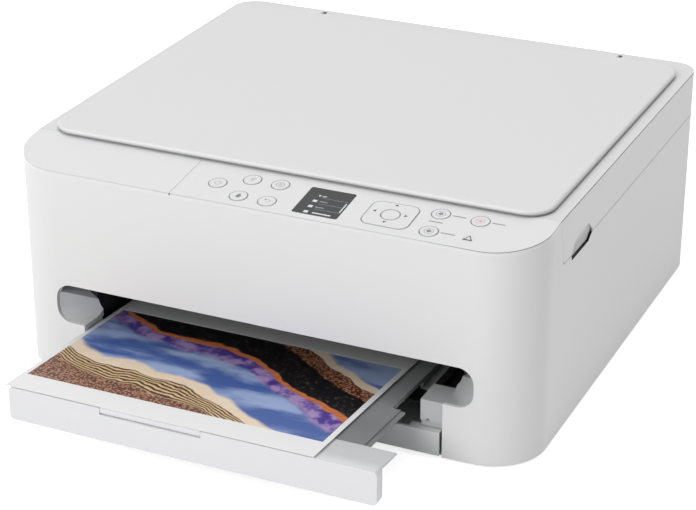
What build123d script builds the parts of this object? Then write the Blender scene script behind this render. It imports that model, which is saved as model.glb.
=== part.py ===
from build123d import *
from math import atan2, cos, degrees, pi, radians, sin
import os

os.makedirs("parts", exist_ok=True)

# Body. Depths are measured back from the front face, heights up from the desk.
body_width = 372.0
body_depth = 353.0
rim_height = 157.0              # flat top of the scanner unit
unit_height = 33.0              # scanner unit, from its seam with the base to the rim
front_corner_radius = 37.0
rear_corner_radius = 18.0
case_wall = 2.5
foot_height = 2.5
seam_gap = 0.25
line_groove = 0.35              # fine line round the upper edges, its height and depth
line_below_edge = 0.35
strip_drop = 6.2                # fall of the control strip from the rim to its front edge
strip_depth = 48.0
strip_thickness = 3.0
seam_foot_depth = 57.0          # where the strip's rear seam meets the split
rear_chamfer = 6.0
foot_radius = 7.0

# Clearances
fit = 0.05                      # shaft in bore, on the radius
slide_gap = 0.3                 # running gap beside a sliding piece
plate_gap = 0.1                 # flat faces of different moving pieces
inset_gap = 0.15                # round an inlaid piece

# Output slot and the notch below it
slot_end_margin = 36.0          # from the end of the slot to the side of the body
slot_bottom = 41.0
slot_top = 69.0
slot_corner = 11.0
notch_half_width = 129.6
pocket_depth = 25.0
pocket_inner_inset = 17.0
block_inner_face = 113.5
block_bottom = 24.8
block_top = 39.6
left_block_top = 34.2

# Output tray, pulled out
tray_reach = 97.0
lip_half_width = 127.5
lip_bottom = 20.3
lip_wall = 2.2
lip_bar_depth = 8.0
lip_plate_depth = 30.0
lip_corner = 3.0
sheet_slope = 4.7               # degrees, falling towards the machine
sheet_lead = 1.0                # front edge of the sheet before the lip
sheet_front_height = 44.8
sheet_width = 215.9
sheet_length = 178.0
sheet_thickness = 0.3
sheet_offset = -21.2            # centre line of the sheet from the middle of the body
rib_height = 1.2
tray_plate = 2.0
tray_length = 184.0
tray_half_width = 100.0
ledge_half_width = 105.6
ledge_rail = 2.9                # low rail outside the ledge
ledge_length = 57.0
runner_half_width = 109.5
runner_bottom = 24.8
runner_foot = 1.6
stop_left = -61.0
stop_right = 10.0

# Cassette
cassette_half_width = 121.0
cassette_length = 305.0
cassette_floor = 1.6
cassette_wall = 1.6
cassette_wall_height = 13.0
cassette_front_half_width = 127.7
cassette_front_height = 19.6
cassette_front_wall = 2.2
guide_depth = 157.5             # line of the guide pinion
guide_pinion_teeth = 12
rack_module = 1.0

# Frames and print mechanism
frame_margin = 15.0             # from the frame's inner face to the side of the body
frame_thickness = 2.0
frame_front = 88.0
frame_rear = 272.0
frame_drop = 8.0                # from the split down to the frames' top
roller_height = 45.0
roller_radius = 7.0
roller_shaft_radius = 4.0
feed_roller_depth = 203.0
exit_roller_depth = 110.0
gear_module = 1.0
feed_gear_teeth = 36
exit_gear_teeth = 24
pinion_teeth = 12
gear_width = 5.0
rail_radius = 4.0
rail_depth = 207.0
rail_drop = 14.0                # from the carriage's top down to the rail's axis
belt_drop = 16.0                # from the frames' top down to the belt's axis
belt_depth = 214.0
belt_width = 5.0
belt_thickness = 1.4
pulley_radius = 6.0
pulley_margin = 16.0            # from a pulley's axis to the frame
carriage_margin = 39.0          # from the parked carriage's middle to the frame
carriage_half_width = 38.0
carriage_front = 120.0
carriage_rear = 198.0
carriage_bottom = 56.0
carriage_drop = 2.0             # from the belt's axis down to the carriage's top
platen_rib_top = 52.0
deck_thickness = 2.0
beam_depth = 268.0
pickup_depth = 222.0
pickup_height = 17.0
pickup_radius = 10.0
pickup_pivot_depth = 262.0
pickup_pivot_height = 36.0

# Scanner unit and lid
glass_end_margin = 30.5         # from the glass to the side of the body
glass_depth = 229.0
glass_thickness = 2.8
glass_sink = 0.6
glass_centre = 188.0
aperture_margin = 4.0
housing_top = 2.5
housing_floor = 2.4
scan_rail_radius = 4.0
scan_rail_rise = 7.5            # from the split up to the rail's axis
scan_home_margin = 15.5         # from the glass's end to the parked scan head's middle
scanner_axis_inset = 7.0        # hinge axis of the scanner unit, from its back and its underside
scanner_pin_radius = 2.5
hinge_margin = 46.0             # from a scanner hinge's middle to the side of the body
lid_side_margin = 8.6
lid_front = 44.2
lid_rear_margin = 18.0
lid_corner = 18.0
lid_rise = 4.0                  # from the rim up to the lid's top
lid_thickness = 3.0
lid_skin = 2.0
lid_edge = 2.0                  # rounding of the lid's upper edge
lid_arm_gap = 0.6               # between the rim and the lid's hinge arms
pad_thickness = 2.0
lid_axis_inset = 9.0            # lid's hinge axis, from the back of the body
lid_axis_drop = 2.2             # and down from the rim
lid_pin_radius = 1.5
lid_barrel_radius = 3.2
lid_hinge_margin = 66.0         # from a lid hinge's middle to the side of the body

# Control strip, places along the slope from its front edge
strip_split_x = -60.4
split_gap = 0.3
key_radius = 5.6
key_gap = 0.3
key_proud = 0.25
flange = 0.8
flange_overhang = 0.9
key_places = {
    "power_button": (-36.6, 21.5),
    "wireless_button": (-17.0, 32.2),
    "info_button": (2.9, 32.2),
    "home_button": (-16.5, 11.0),
    "back_button": (3.6, 11.0),
    "black_start_button": (113.2, 32.4),
    "colour_start_button": (113.8, 11.0),
    "stop_button": (139.4, 32.2),
}
pad_place = (84.0, 21.0)
pad_size = (31.0, 27.5)
pad_corner = 6.0
display_place = (38.8, 21.0)
display_size = (31.0, 32.0)
display_thickness = 1.5
display_corner = 1.4
lamp_place = (139.7, 11.2)
lamp_size = 7.0

# Derived places
front_y = (tray_reach - body_depth) / 2
half_width = body_width / 2
split_height = rim_height - unit_height
strip_front_height = rim_height - strip_drop
base_top = split_height - seam_gap / 2
unit_bottom = split_height + seam_gap / 2
strip_angle = degrees(atan2(strip_drop, strip_depth))
strip_plane = Plane(
    origin=(0, front_y, strip_front_height),
    x_dir=(1, 0, 0),
    z_dir=(0, -sin(radians(strip_angle)), cos(radians(strip_angle))),
)
sheet_plane = Plane(
    origin=(0, front_y - tray_reach - sheet_lead, sheet_front_height),
    x_dir=(1, 0, 0),
    z_dir=(0, sin(radians(sheet_slope)), cos(radians(sheet_slope))),
)
bay_floor = foot_height + 2.0
cassette_bottom = bay_floor + slide_gap
cassette_top = cassette_bottom + cassette_wall_height
slot_half_width = half_width - slot_end_margin
frame_inner_face = half_width - frame_margin
frame_height = split_height - frame_drop
belt_height = frame_height - belt_drop
pulley_half_span = frame_inner_face - pulley_margin
carriage_home = frame_inner_face - carriage_margin
carriage_top = belt_height - carriage_drop
rail_height = carriage_top - rail_drop
glass_length = body_width - 2 * glass_end_margin
glass_top = rim_height - glass_sink
glass_bottom = glass_top - glass_thickness
scan_rail_height = split_height + scan_rail_rise
scan_head_home = scan_home_margin - glass_length / 2
scanner_axis_depth = body_depth - scanner_axis_inset
scanner_axis_height = unit_bottom + scanner_axis_inset
hinge_half_span = half_width - hinge_margin
lid_half_width = half_width - lid_side_margin
lid_rear = body_depth - lid_rear_margin
lid_top = rim_height + lid_rise
lid_bottom = lid_top - lid_thickness
lid_axis_depth = body_depth - lid_axis_inset
lid_axis_height = rim_height - lid_axis_drop
lid_hinge_half_span = half_width - lid_hinge_margin


def seam_depth(height):
    """Depth of the seam behind the control strip, which leans forward as it rises."""
    share = (height - split_height) / (rim_height - split_height)
    return seam_foot_depth + share * (strip_depth - seam_foot_depth)


def sheet_height(depth):
    """Height of the sheet's underside at a depth, with the tray pulled out."""
    run = depth + tray_reach + sheet_lead
    return sheet_front_height - run * sin(radians(sheet_slope)) / cos(radians(sheet_slope))


def body_plan(height, inset=0.0):
    """Plan of the body at a height: wide corners in front, small ones behind."""
    with BuildSketch(Plane.XY.offset(height)) as plan:
        with Locations((0, front_y + body_depth / 2)):
            Rectangle(body_width - 2 * inset, body_depth - 2 * inset)
        fillet(plan.vertices().group_by(Axis.Y)[0], front_corner_radius - inset)
        fillet(plan.vertices().group_by(Axis.Y)[-1], rear_corner_radius - inset)
    return plan.sketch


def block(x0, x1, d0, d1, z0, z1, mode=Mode.ADD):
    """Box between two corners, with its depths measured back from the front face."""
    with Locations(((x0 + x1) / 2, front_y + (d0 + d1) / 2, (z0 + z1) / 2)):
        Box(x1 - x0, d1 - d0, z1 - z0, mode=mode)


def bar_x(points, x0, x1, mode=Mode.ADD):
    """Bar along X whose section is given by (depth, height) points."""
    with BuildSketch(Plane.YZ.offset(x0)) as section:
        with BuildLine():
            Polyline([(front_y + d, z) for d, z in points], close=True)
        make_face()
    extrude(section.sketch, amount=x1 - x0, mode=mode)


def rod_x(x0, x1, depth, height, radius, mode=Mode.ADD):
    """Round rod along X."""
    with BuildSketch(Plane.YZ.offset(x0)) as section:
        with Locations((front_y + depth, height)):
            Circle(radius)
    extrude(section.sketch, amount=x1 - x0, mode=mode)


def rod_y(x, d0, d1, height, radius, mode=Mode.ADD):
    """Round rod along Y."""
    with BuildSketch(Plane.XZ.offset(-(front_y + d0))) as section:
        with Locations((x, height)):
            Circle(radius)
    extrude(section.sketch, amount=d0 - d1, mode=mode)


def rod_z(x, depth, z0, z1, radius, mode=Mode.ADD):
    """Round rod along Z."""
    with BuildSketch(Plane.XY.offset(z0)) as section:
        with Locations((x, front_y + depth)):
            Circle(radius)
    extrude(section.sketch, amount=z1 - z0, mode=mode)


def tooth_outline(module):
    """One narrow gear tooth, pointing along +X from the pitch line."""
    return [(-1.2 * module, -0.8 * module), (0.8 * module, -0.4 * module),
            (0.8 * module, 0.4 * module), (-1.2 * module, 0.8 * module)]


def spur_gear(x0, depth, height, teeth, bore, first_tooth, module=gear_module):
    """Gear on an axis along X; its narrow teeth leave plenty of backlash."""
    pitch_radius = teeth * module / 2
    with BuildSketch(Plane.YZ.offset(x0)) as section:
        with Locations((front_y + depth, height)):
            Circle(pitch_radius - 1.1 * module)
            with PolarLocations(pitch_radius, teeth, start_angle=first_tooth):
                Polygon(*tooth_outline(module), align=None)
            if bore:
                Circle(bore, mode=Mode.SUBTRACT)
    extrude(section.sketch, amount=gear_width)


def meshing_tooth(teeth_a, tooth_a, teeth_b, direction):
    """Angle of a tooth of gear b that meshes with gear a; b lies at this direction from a."""
    offset_a = teeth_a * (direction - tooth_a)
    return direction + 180 - (180 - offset_a) / teeth_b


def finish(builder, name):
    """Name a finished piece and write it."""
    builder.part.label = name
    export_step(builder.part, "parts/" + name + ".step")


# Finger grip in the right side: a dip in the case, and a recess with a tab in the scanner unit
grip_sink = 1.3
grip_start = 71.0
grip_end = 112.0
dip_floor = split_height - 3.9
tab_gap = 1.3
finger_lip = 0.9                # case wall left beside the finger space behind the dip
finger_dip = [(grip_start, base_top + 0.5), (grip_start + 1.5, dip_floor), (grip_end - 7, dip_floor),
              (grip_end, base_top + 0.5)]
grip_tab = [(grip_start + 1, unit_bottom + 1), (grip_start + 2.3, dip_floor + tab_gap),
            (grip_end - 7.8, dip_floor + tab_gap), (grip_end - 2.2, unit_bottom + 1)]
grip_recess = [(grip_start + 0.8, dip_floor), (grip_start + 1.5, unit_bottom + 1),
               (grip_start + 4.5, unit_bottom + 6), (grip_start + 16, unit_bottom + 9.8),
               (grip_end - 7.5, unit_bottom + 9), (grip_end - 0.5, unit_bottom + 2.4), (grip_end, dip_floor)]
grip_slit = [(grip_end - 2.6, unit_bottom - 1), (grip_end - 0.2, unit_bottom - 1),
             (grip_end + 0.3, unit_bottom + 2.3), (grip_end - 1.2, unit_bottom + 2.3)]
grip_slit_reach = 6.0

# Base: case, bottom plate, rear panel

boss_depths = (62.0, 250.0, 320.0)
boss_length = 10.0
boss_height = 20.0
boss_inner = half_width - case_wall - boss_length
boss_centre_x = boss_inner + boss_length / 2
screw_core = 1.3
screw_hole = 1.6
rear_opening_half_width = half_width - 36.0
rear_inner = body_depth - case_wall
slope = strip_drop / strip_depth
strip_seat = strip_front_height - strip_thickness / cos(radians(strip_angle))
seam_top_depth = seam_depth(strip_seat + strip_depth * slope)
wall_rear = seam_foot_depth - seam_gap / 2      # back of the wall in front of the scanner unit
wall_top_rear = seam_top_depth - seam_gap / 2
wall_back_thickness = 2.0
bottom_bevel = [(body_depth - rear_chamfer, foot_height - 0.1), (body_depth + 1, foot_height - 0.1),
                (body_depth + 1, foot_height + rear_chamfer + 1)]

with BuildPart() as outer_case:
    extrude(body_plan(foot_height), amount=rim_height - foot_height)
    extrude(body_plan(foot_height, case_wall), amount=rim_height - foot_height, mode=Mode.SUBTRACT)
    for side in (-1, 1):
        ends = sorted((side * (half_width - case_wall / 2), side * boss_inner))
        for boss in boss_depths:
            block(ends[0], ends[1], boss - 6, boss + 6, bay_floor, bay_floor + boss_height)
            rod_z(side * boss_centre_x, boss, bay_floor, bay_floor + 12, screw_core, Mode.SUBTRACT)
    panel_back = [
        (wall_rear - wall_back_thickness, frame_height + 2),
        (wall_rear, frame_height + 2),
        (wall_rear, base_top),
        (wall_top_rear, strip_seat + strip_depth * slope),
        (wall_top_rear - wall_back_thickness, strip_seat + strip_depth * slope),
        (wall_rear - wall_back_thickness, base_top),
    ]
    bar_x(panel_back, -half_width + case_wall / 2, half_width - case_wall / 2)
    above_case = [
        (-5, strip_seat - 5 * slope),
        (wall_top_rear, strip_seat + wall_top_rear * slope),
        (wall_rear, base_top),
        (body_depth + 5, base_top),
        (body_depth + 5, rim_height + 20),
        (-5, rim_height + 20),
    ]
    bar_x(above_case, -half_width - 1, half_width + 1, Mode.SUBTRACT)
    with BuildSketch(Plane.XZ.offset(-(front_y - 5))):
        with Locations((0, (slot_bottom + slot_top) / 2)):
            RectangleRounded(2 * slot_half_width, slot_top - slot_bottom, slot_corner)
    extrude(amount=-(case_wall + 10), mode=Mode.SUBTRACT)
    block(-notch_half_width, notch_half_width, -5, case_wall + 5, foot_height - 1, slot_bottom + 4,
          Mode.SUBTRACT)
    bar_x(finger_dip, half_width - case_wall - 1, half_width + 1, Mode.SUBTRACT)
    block(half_width - case_wall - 1, half_width - finger_lip, grip_start + 1.5, grip_end - 7,
          frame_height + deck_thickness + slide_gap, base_top + 1, Mode.SUBTRACT)
    block(-rear_opening_half_width, rear_opening_half_width, rear_inner - 1, body_depth + 1,
          foot_height - 1, split_height + 1, Mode.SUBTRACT)
    bar_x(bottom_bevel, -half_width - 1, half_width + 1, Mode.SUBTRACT)
finish(outer_case, "outer_case")

inlet_x = half_width - 50.0
inlet_height = 36.0
inlet_size = (22.0, 18.0)
board_thickness = 1.6
board_face = rear_inner - 6.4
board_span = (38.0 - half_width, 146.0 - half_width)
board_heights = (split_height - 64.0, split_height - 12.0)
usb_x = board_span[0] + 44.0
usb_height = board_heights[0] + 24.0
usb_size = (13.0, 12.0)
vent_count = 12
vent_pitch = 7.0
vent_width = 3.0
vent_start = 20.0
vent_heights = (split_height - 40.0, split_height - 18.0)
panel_groove = 1.0

with BuildPart() as rear_panel:
    edge = rear_opening_half_width - inset_gap
    block(-edge, edge, rear_inner, body_depth, foot_height, base_top)
    for column in range(vent_count):
        vent_x = vent_start + column * vent_pitch
        block(vent_x, vent_x + vent_width, rear_inner - 1, body_depth + 1, *vent_heights, Mode.SUBTRACT)
    block(inlet_x - inlet_size[0] / 2 - inset_gap, inlet_x + inlet_size[0] / 2 + inset_gap, rear_inner - 1,
          body_depth + 1, inlet_height - inlet_size[1] / 2 - inset_gap,
          inlet_height + inlet_size[1] / 2 + inset_gap, Mode.SUBTRACT)
    block(usb_x - usb_size[0] / 2 - inset_gap, usb_x + usb_size[0] / 2 + inset_gap, rear_inner - 1,
          body_depth + 1, usb_height - usb_size[1] / 2 - inset_gap,
          usb_height + usb_size[1] / 2 + inset_gap, Mode.SUBTRACT)
    for post_x in (board_span[0] + 6, board_span[1] - 6):
        for post_z in (board_heights[0] + 6, board_heights[1] - 6):
            rod_y(post_x, board_face, rear_inner, post_z, 3.0)
    with BuildSketch(Plane.XZ.offset(-(front_y + body_depth))):
        with Locations((-10, 42)):
            RectangleRounded(210, 38, 5)
            RectangleRounded(210 - 2 * panel_groove, 38 - 2 * panel_groove, 5 - panel_groove,
                             mode=Mode.SUBTRACT)
    extrude(amount=0.8, mode=Mode.SUBTRACT)
    bar_x(bottom_bevel, -edge - 1, edge + 1, Mode.SUBTRACT)
finish(rear_panel, "rear_panel")

plate_inset = case_wall + 0.2

with BuildPart() as bottom_plate:
    extrude(body_plan(foot_height, plate_inset), amount=bay_floor - foot_height)
    block(-half_width, half_width, body_depth - rear_chamfer - 0.5, body_depth, foot_height - 1,
          bay_floor + 1, Mode.SUBTRACT)
    for side in (-1, 1):
        rail = sorted((side * (cassette_half_width + 0.4), side * (cassette_half_width + 2.4)))
        block(rail[0], rail[1], 26, 300, bay_floor, bay_floor + 6)
        for boss in boss_depths:
            rod_z(side * boss_centre_x, boss, foot_height, bay_floor, screw_hole, Mode.SUBTRACT)
finish(bottom_plate, "bottom_plate")

foot_x = half_width - 36.0
foot_inset = 30.0

with BuildPart() as rubber_feet:
    for side in (-1, 1):
        for foot_depth in (foot_inset, body_depth - foot_inset):
            rod_z(side * foot_x, foot_depth, 0, foot_height, foot_radius)
finish(rubber_feet, "rubber_feet")

# Control strip: blank cover, operation panel, keys, screen and lamp

plate_height = strip_thickness / cos(radians(strip_angle))


def strip_layer(top_cut, bottom_cut):
    """Section of a layer of the strip between two heights below its top face."""
    rear_top = seam_depth(rim_height - top_cut) - seam_gap / 2
    rear_bottom = seam_depth(rim_height - bottom_cut) - seam_gap / 2
    return [
        (-1, strip_front_height - slope - bottom_cut),
        (rear_bottom, strip_front_height + rear_bottom * slope - bottom_cut),
        (rear_top, strip_front_height + rear_top * slope - top_cut),
        (-1, strip_front_height - slope - top_cut),
    ]


def strip_plate(x0, x1):
    """Plate of the control strip, with a fine line let in round its outer edge."""
    line_bottom = line_below_edge + line_groove
    bar_x(strip_layer(line_below_edge, line_bottom), x0, x1)
    extrude(body_plan(split_height, line_groove), amount=2 * unit_height, mode=Mode.INTERSECT)
    bar_x(strip_layer(0, line_below_edge), x0, x1)
    bar_x(strip_layer(line_bottom, plate_height), x0, x1)
    extrude(body_plan(split_height), amount=2 * unit_height, mode=Mode.INTERSECT)


with BuildPart() as strip_cover:
    strip_plate(-half_width, strip_split_x - split_gap / 2)
finish(strip_cover, "strip_cover")

board_standoff = 3.0

with BuildPart() as operation_panel:
    strip_plate(strip_split_x + split_gap / 2, half_width)
    with BuildSketch(strip_plane.offset(1)):
        for place in key_places.values():
            with Locations(place):
                Circle(key_radius + key_gap)
        with Locations(pad_place):
            RectangleRounded(pad_size[0] + 2 * key_gap, pad_size[1] + 2 * key_gap, pad_corner + key_gap)
    extrude(amount=-(strip_thickness + 2), mode=Mode.SUBTRACT)
    with BuildSketch(strip_plane.offset(1)):
        with Locations(display_place):
            RectangleRounded(display_size[0] + 2 * inset_gap, display_size[1] + 2 * inset_gap,
                             display_corner + inset_gap)
        with Locations(lamp_place):
            Circle(lamp_size / 2 + inset_gap)
    extrude(amount=-(1 + display_thickness), mode=Mode.SUBTRACT)
    with BuildSketch(strip_plane.offset(-strip_thickness)):
        with Locations((-54, 11), (-54, 32), (14.5, 21), (61, 21), (126, 21.5), (151.5, 21.5)):
            Circle(2.2)
    extrude(amount=-board_standoff)
finish(operation_panel, "operation_panel")

panel_board_top = strip_thickness + board_standoff
panel_board_right = half_width - 29.5
panel_board_length = 213.0
flange_under = strip_thickness + plate_gap + flange
switch_gap = 0.9

with BuildPart() as panel_board:
    with BuildSketch(strip_plane.offset(-panel_board_top)):
        with Locations((panel_board_right - panel_board_length / 2, 22)):
            Rectangle(panel_board_length, 35)
    extrude(amount=-board_thickness)
    with BuildSketch(strip_plane.offset(-panel_board_top)):
        for place in key_places.values():
            with Locations(place):
                Rectangle(3.5, 3.5)
        with Locations(pad_place):
            Rectangle(3.5, 3.5)
            with GridLocations(20, 17, 2, 2):
                Rectangle(3, 3)
    extrude(amount=panel_board_top - flange_under - switch_gap)
finish(panel_board, "panel_board")

with BuildPart() as display_screen:
    with BuildSketch(strip_plane):
        with Locations(display_place):
            RectangleRounded(display_size[0], display_size[1], display_corner)
    extrude(amount=-display_thickness)
finish(display_screen, "display_screen")

with BuildPart() as alarm_lamp:
    with BuildSketch(strip_plane):
        with Locations(lamp_place):
            Circle(lamp_size / 2)
    extrude(amount=-display_thickness)
finish(alarm_lamp, "alarm_lamp")

for key_name, place in key_places.items():
    with BuildPart() as key:
        with BuildSketch(strip_plane.offset(key_proud)):
            with Locations(place):
                Circle(key_radius)
        extrude(amount=-(key_proud + strip_thickness + plate_gap))
        with BuildSketch(strip_plane.offset(-strip_thickness - plate_gap)):
            with Locations(place):
                Circle(key_radius + flange_overhang)
        extrude(amount=-flange)
    finish(key, key_name)

ok_radius = 5.7
pad_bore = ok_radius + key_gap

with BuildPart() as direction_pad:
    with BuildSketch(strip_plane.offset(key_proud)):
        with Locations(pad_place):
            RectangleRounded(pad_size[0], pad_size[1], pad_corner)
            Circle(pad_bore, mode=Mode.SUBTRACT)
    extrude(amount=-(key_proud + strip_thickness + plate_gap))
    with BuildSketch(strip_plane.offset(-strip_thickness - plate_gap)):
        with Locations(pad_place):
            RectangleRounded(pad_size[0] + 2 * flange_overhang, pad_size[1] + 2 * flange_overhang,
                             pad_corner + flange_overhang)
            Circle(ok_radius + 1.3, mode=Mode.SUBTRACT)
    extrude(amount=-flange)
finish(direction_pad, "direction_pad")

with BuildPart() as ok_button:
    with BuildSketch(strip_plane.offset(key_proud)):
        with Locations(pad_place):
            Circle(ok_radius)
    extrude(amount=-(key_proud + flange_under))
finish(ok_button, "ok_button")

# Slot liner and the dark chute behind it

filler_face = case_wall + 2.5   # front of the wall below the right block
with BuildPart() as slot_liner:
    for side in (-1, 1):
        cheek = sorted((side * notch_half_width, side * (slot_half_width + 3)))
        block(cheek[0], cheek[1], case_wall, pocket_depth, block_top - 2, slot_top + 3)
        inner = sorted((side * block_inner_face, side * (slot_half_width + 3)))
        top = left_block_top if side < 0 else block_top
        block(inner[0], inner[1], case_wall + 0.5, pocket_depth, block_bottom, top)
        side_cheek = sorted((side * (notch_half_width + 1), side * (slot_half_width + 3)))
        block(side_cheek[0], side_cheek[1], case_wall, pocket_depth, block_bottom, block_top)
    with BuildSketch(Plane.XZ.offset(-(front_y + case_wall))):
        with Locations((0, (slot_bottom + slot_top) / 2)):
            RectangleRounded(2 * slot_half_width, slot_top - slot_bottom, slot_corner)
    with BuildSketch(Plane.XZ.offset(-(front_y + pocket_depth))):
        with Locations((0, (block_top + slot_top + 1.4) / 2)):
            RectangleRounded(2 * (slot_half_width - pocket_inner_inset), slot_top + 1.4 - block_top,
                             slot_corner)
    loft(mode=Mode.SUBTRACT)
    for side in (-1, 1):
        with BuildSketch(Plane.XZ.offset(-(front_y + case_wall + 1))):
            bevel_inner = slot_half_width - 25
            Polygon((side * bevel_inner, 47), (side * (bevel_inner + 6.5), 48), (side * slot_half_width, 62),
                    (side * (slot_half_width + 5), 66), (side * (slot_half_width + 5), slot_top + 6),
                    (side * bevel_inner, slot_top + 6), align=None)
        extrude(amount=-30, mode=Mode.SUBTRACT)
        corner = sorted((side * (slot_half_width - 1), side * (slot_half_width + 4)))
        block(corner[0], corner[1], case_wall - 1, case_wall + 0.5, block_bottom - 1, slot_top + 4,
              Mode.SUBTRACT)
    block(-slot_half_width + 2, slot_half_width - 2, case_wall, case_wall + 2, slot_top + 0.5, slot_top + 3)
    block(block_inner_face, slot_half_width + 3, filler_face, pocket_depth, cassette_front_height + 0.6,
          block_bottom + 1)
    rod_y(block_inner_face + 5.2, case_wall, case_wall + 5, block_bottom + 0.5, 1.2, Mode.SUBTRACT)
finish(slot_liner, "slot_liner")

chute_wall_inner = 134.0
chute_wall_outer = 136.0
chute_half_width = slot_half_width + 5.0
chute_ceiling = slot_top + 1.8
chute_end = 100.0
channel_end = 182.0
shelf_top = runner_bottom - slide_gap
flange_bottom = runner_bottom + runner_foot + slide_gap
flange_top = flange_bottom + 1.4

with BuildPart() as exit_chute:
    block(-chute_half_width, chute_half_width, case_wall + 2.2, chute_end, chute_ceiling + 1.4,
          chute_ceiling + 3.4)
    for side in (-1, 1):
        wall = sorted((side * chute_wall_inner, side * chute_wall_outer))
        block(wall[0], wall[1], pocket_depth, chute_end, bay_floor, chute_ceiling + 2)
        block(wall[0], wall[1], pocket_depth, channel_end, bay_floor, shelf_top)
        shelf = sorted((side * 88, side * chute_wall_outer))
        block(shelf[0], shelf[1], pocket_depth, channel_end, shelf_top - 2, shelf_top)
        post = sorted((side * (runner_half_width + slide_gap), side * (runner_half_width + 2.3)))
        block(post[0], post[1], pocket_depth + 0.5, channel_end, shelf_top, flange_top)
        lip = sorted((side * (runner_half_width - 3), side * (runner_half_width + 2.3)))
        block(lip[0], lip[1], pocket_depth + 0.5, channel_end, flange_bottom, flange_top)
        funnel = sorted((side * chute_wall_inner, side * chute_half_width))
        block(funnel[0], funnel[1], pocket_depth, pocket_depth + 2, block_bottom, chute_ceiling + 2)
finish(exit_chute, "exit_chute")

# Inside: deck, chassis and print mechanism

deck_bottom = frame_height
deck_top = deck_bottom + deck_thickness
ear_half_thickness = 5.0
ear_radius = 4.0

with BuildPart() as inner_deck:
    extrude(body_plan(deck_bottom, plate_inset), amount=deck_thickness)
    block(-half_width, half_width, -1, seam_foot_depth - seam_gap / 2 - 0.1, deck_bottom - 1, deck_top + 1,
          Mode.SUBTRACT)
    block(7 - frame_inner_face, frame_inner_face - 7, 108, 214, deck_bottom - 1, deck_top + 1, Mode.SUBTRACT)
    for side in (-1, 1):
        ear_x = side * hinge_half_span
        block(ear_x - ear_half_thickness, ear_x + ear_half_thickness, scanner_axis_depth - ear_radius,
              scanner_axis_depth + ear_radius, deck_top, scanner_axis_height)
        rod_x(ear_x - ear_half_thickness, ear_x + ear_half_thickness, scanner_axis_depth,
              scanner_axis_height, ear_radius)
        rod_x(ear_x - ear_half_thickness - 1, ear_x + ear_half_thickness + 1, scanner_axis_depth,
              scanner_axis_height, scanner_pin_radius + fit, Mode.SUBTRACT)
finish(inner_deck, "inner_deck")

idler_teeth = 63
feed_to_idler = (feed_gear_teeth + idler_teeth) / 2 * gear_module
idler_depth = feed_roller_depth - feed_to_idler
feed_to_pinion = (feed_gear_teeth + pinion_teeth) / 2 * gear_module
pinion_depth = feed_roller_depth + feed_to_pinion * cos(radians(45))
pinion_height = roller_height + feed_to_pinion * sin(radians(45))
gear_x = -frame_inner_face - 10.0
idler_stud_radius = 2.5
motor_radius = 14.0
motor_shaft_radius = 1.5
bracket_depth = belt_depth + 7.0
bracket_thickness = 2.0
pivot_radius = 2.0

with BuildPart() as chassis:
    for side in (-1, 1):
        frame = sorted((side * frame_inner_face, side * (frame_inner_face + frame_thickness)))
        block(frame[0], frame[1], frame_front, frame_rear, bay_floor, frame_height)
        bracket = sorted((side * frame_inner_face, side * (pulley_half_span - 15)))
        block(bracket[0], bracket[1], bracket_depth, bracket_depth + bracket_thickness,
              belt_height - 14, belt_height + 14)
    block(-frame_inner_face, frame_inner_face, beam_depth, beam_depth + 2, 24, frame_height)
    block(-frame_inner_face, frame_inner_face, 96, 99, carriage_top - 7, carriage_top + 3)
    for roller in (feed_roller_depth, exit_roller_depth):
        rod_x(-frame_inner_face - frame_thickness - 1, frame_inner_face + frame_thickness + 1, roller,
              roller_height, roller_shaft_radius + fit, Mode.SUBTRACT)
    rod_x(-frame_inner_face - frame_thickness - 1, -frame_inner_face + 1, pinion_depth, pinion_height,
          motor_shaft_radius + 1.5, Mode.SUBTRACT)
    rod_x(gear_x - 0.5, -frame_inner_face - frame_thickness, idler_depth, roller_height, idler_stud_radius)
    rod_y(-pulley_half_span, belt_depth - belt_width / 2 - 2, bracket_depth, belt_height, 3.0)
    rod_y(pulley_half_span, bracket_depth - 1, bracket_depth + bracket_thickness + 1, belt_height,
          motor_shaft_radius + 1.5, Mode.SUBTRACT)
    for side in (-1, 1):
        ear = sorted((side * 30.0, side * 33.0))
        block(ear[0], ear[1], pickup_pivot_depth - 5, beam_depth, pickup_pivot_height - 5,
              pickup_pivot_height + 5)
        rod_x(ear[0] - 1, ear[1] + 1, pickup_pivot_depth, pickup_pivot_height, pivot_radius + fit,
              Mode.SUBTRACT)
finish(chassis, "chassis")

with BuildPart() as carriage_rail:
    rod_x(-frame_inner_face, frame_inner_face, rail_depth, rail_height, rail_radius)
finish(carriage_rail, "carriage_rail")

feed_tooth = 0.0
idler_tooth = meshing_tooth(feed_gear_teeth, feed_tooth, idler_teeth, 180.0)
exit_tooth = meshing_tooth(idler_teeth, idler_tooth, exit_gear_teeth, 180.0)
pinion_tooth = meshing_tooth(feed_gear_teeth, feed_tooth, pinion_teeth, 45.0)
shaft_end = frame_inner_face + frame_thickness + 3

with BuildPart() as feed_roller:
    rod_x(-frame_inner_face + 5, frame_inner_face - 5, feed_roller_depth, roller_height, roller_radius)
    rod_x(gear_x, shaft_end, feed_roller_depth, roller_height, roller_shaft_radius)
    spur_gear(gear_x, feed_roller_depth, roller_height, feed_gear_teeth, 0, feed_tooth)
finish(feed_roller, "feed_roller")

with BuildPart() as exit_roller:
    for tyre in range(-3, 4):
        rod_x(tyre * 40 - 8, tyre * 40 + 8, exit_roller_depth, roller_height, roller_radius)
    rod_x(gear_x, shaft_end, exit_roller_depth, roller_height, roller_shaft_radius)
    spur_gear(gear_x, exit_roller_depth, roller_height, exit_gear_teeth, 0, exit_tooth)
finish(exit_roller, "exit_roller")

with BuildPart() as idler_gear:
    spur_gear(gear_x, idler_depth, roller_height, idler_teeth, idler_stud_radius + fit, idler_tooth)
finish(idler_gear, "idler_gear")

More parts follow.
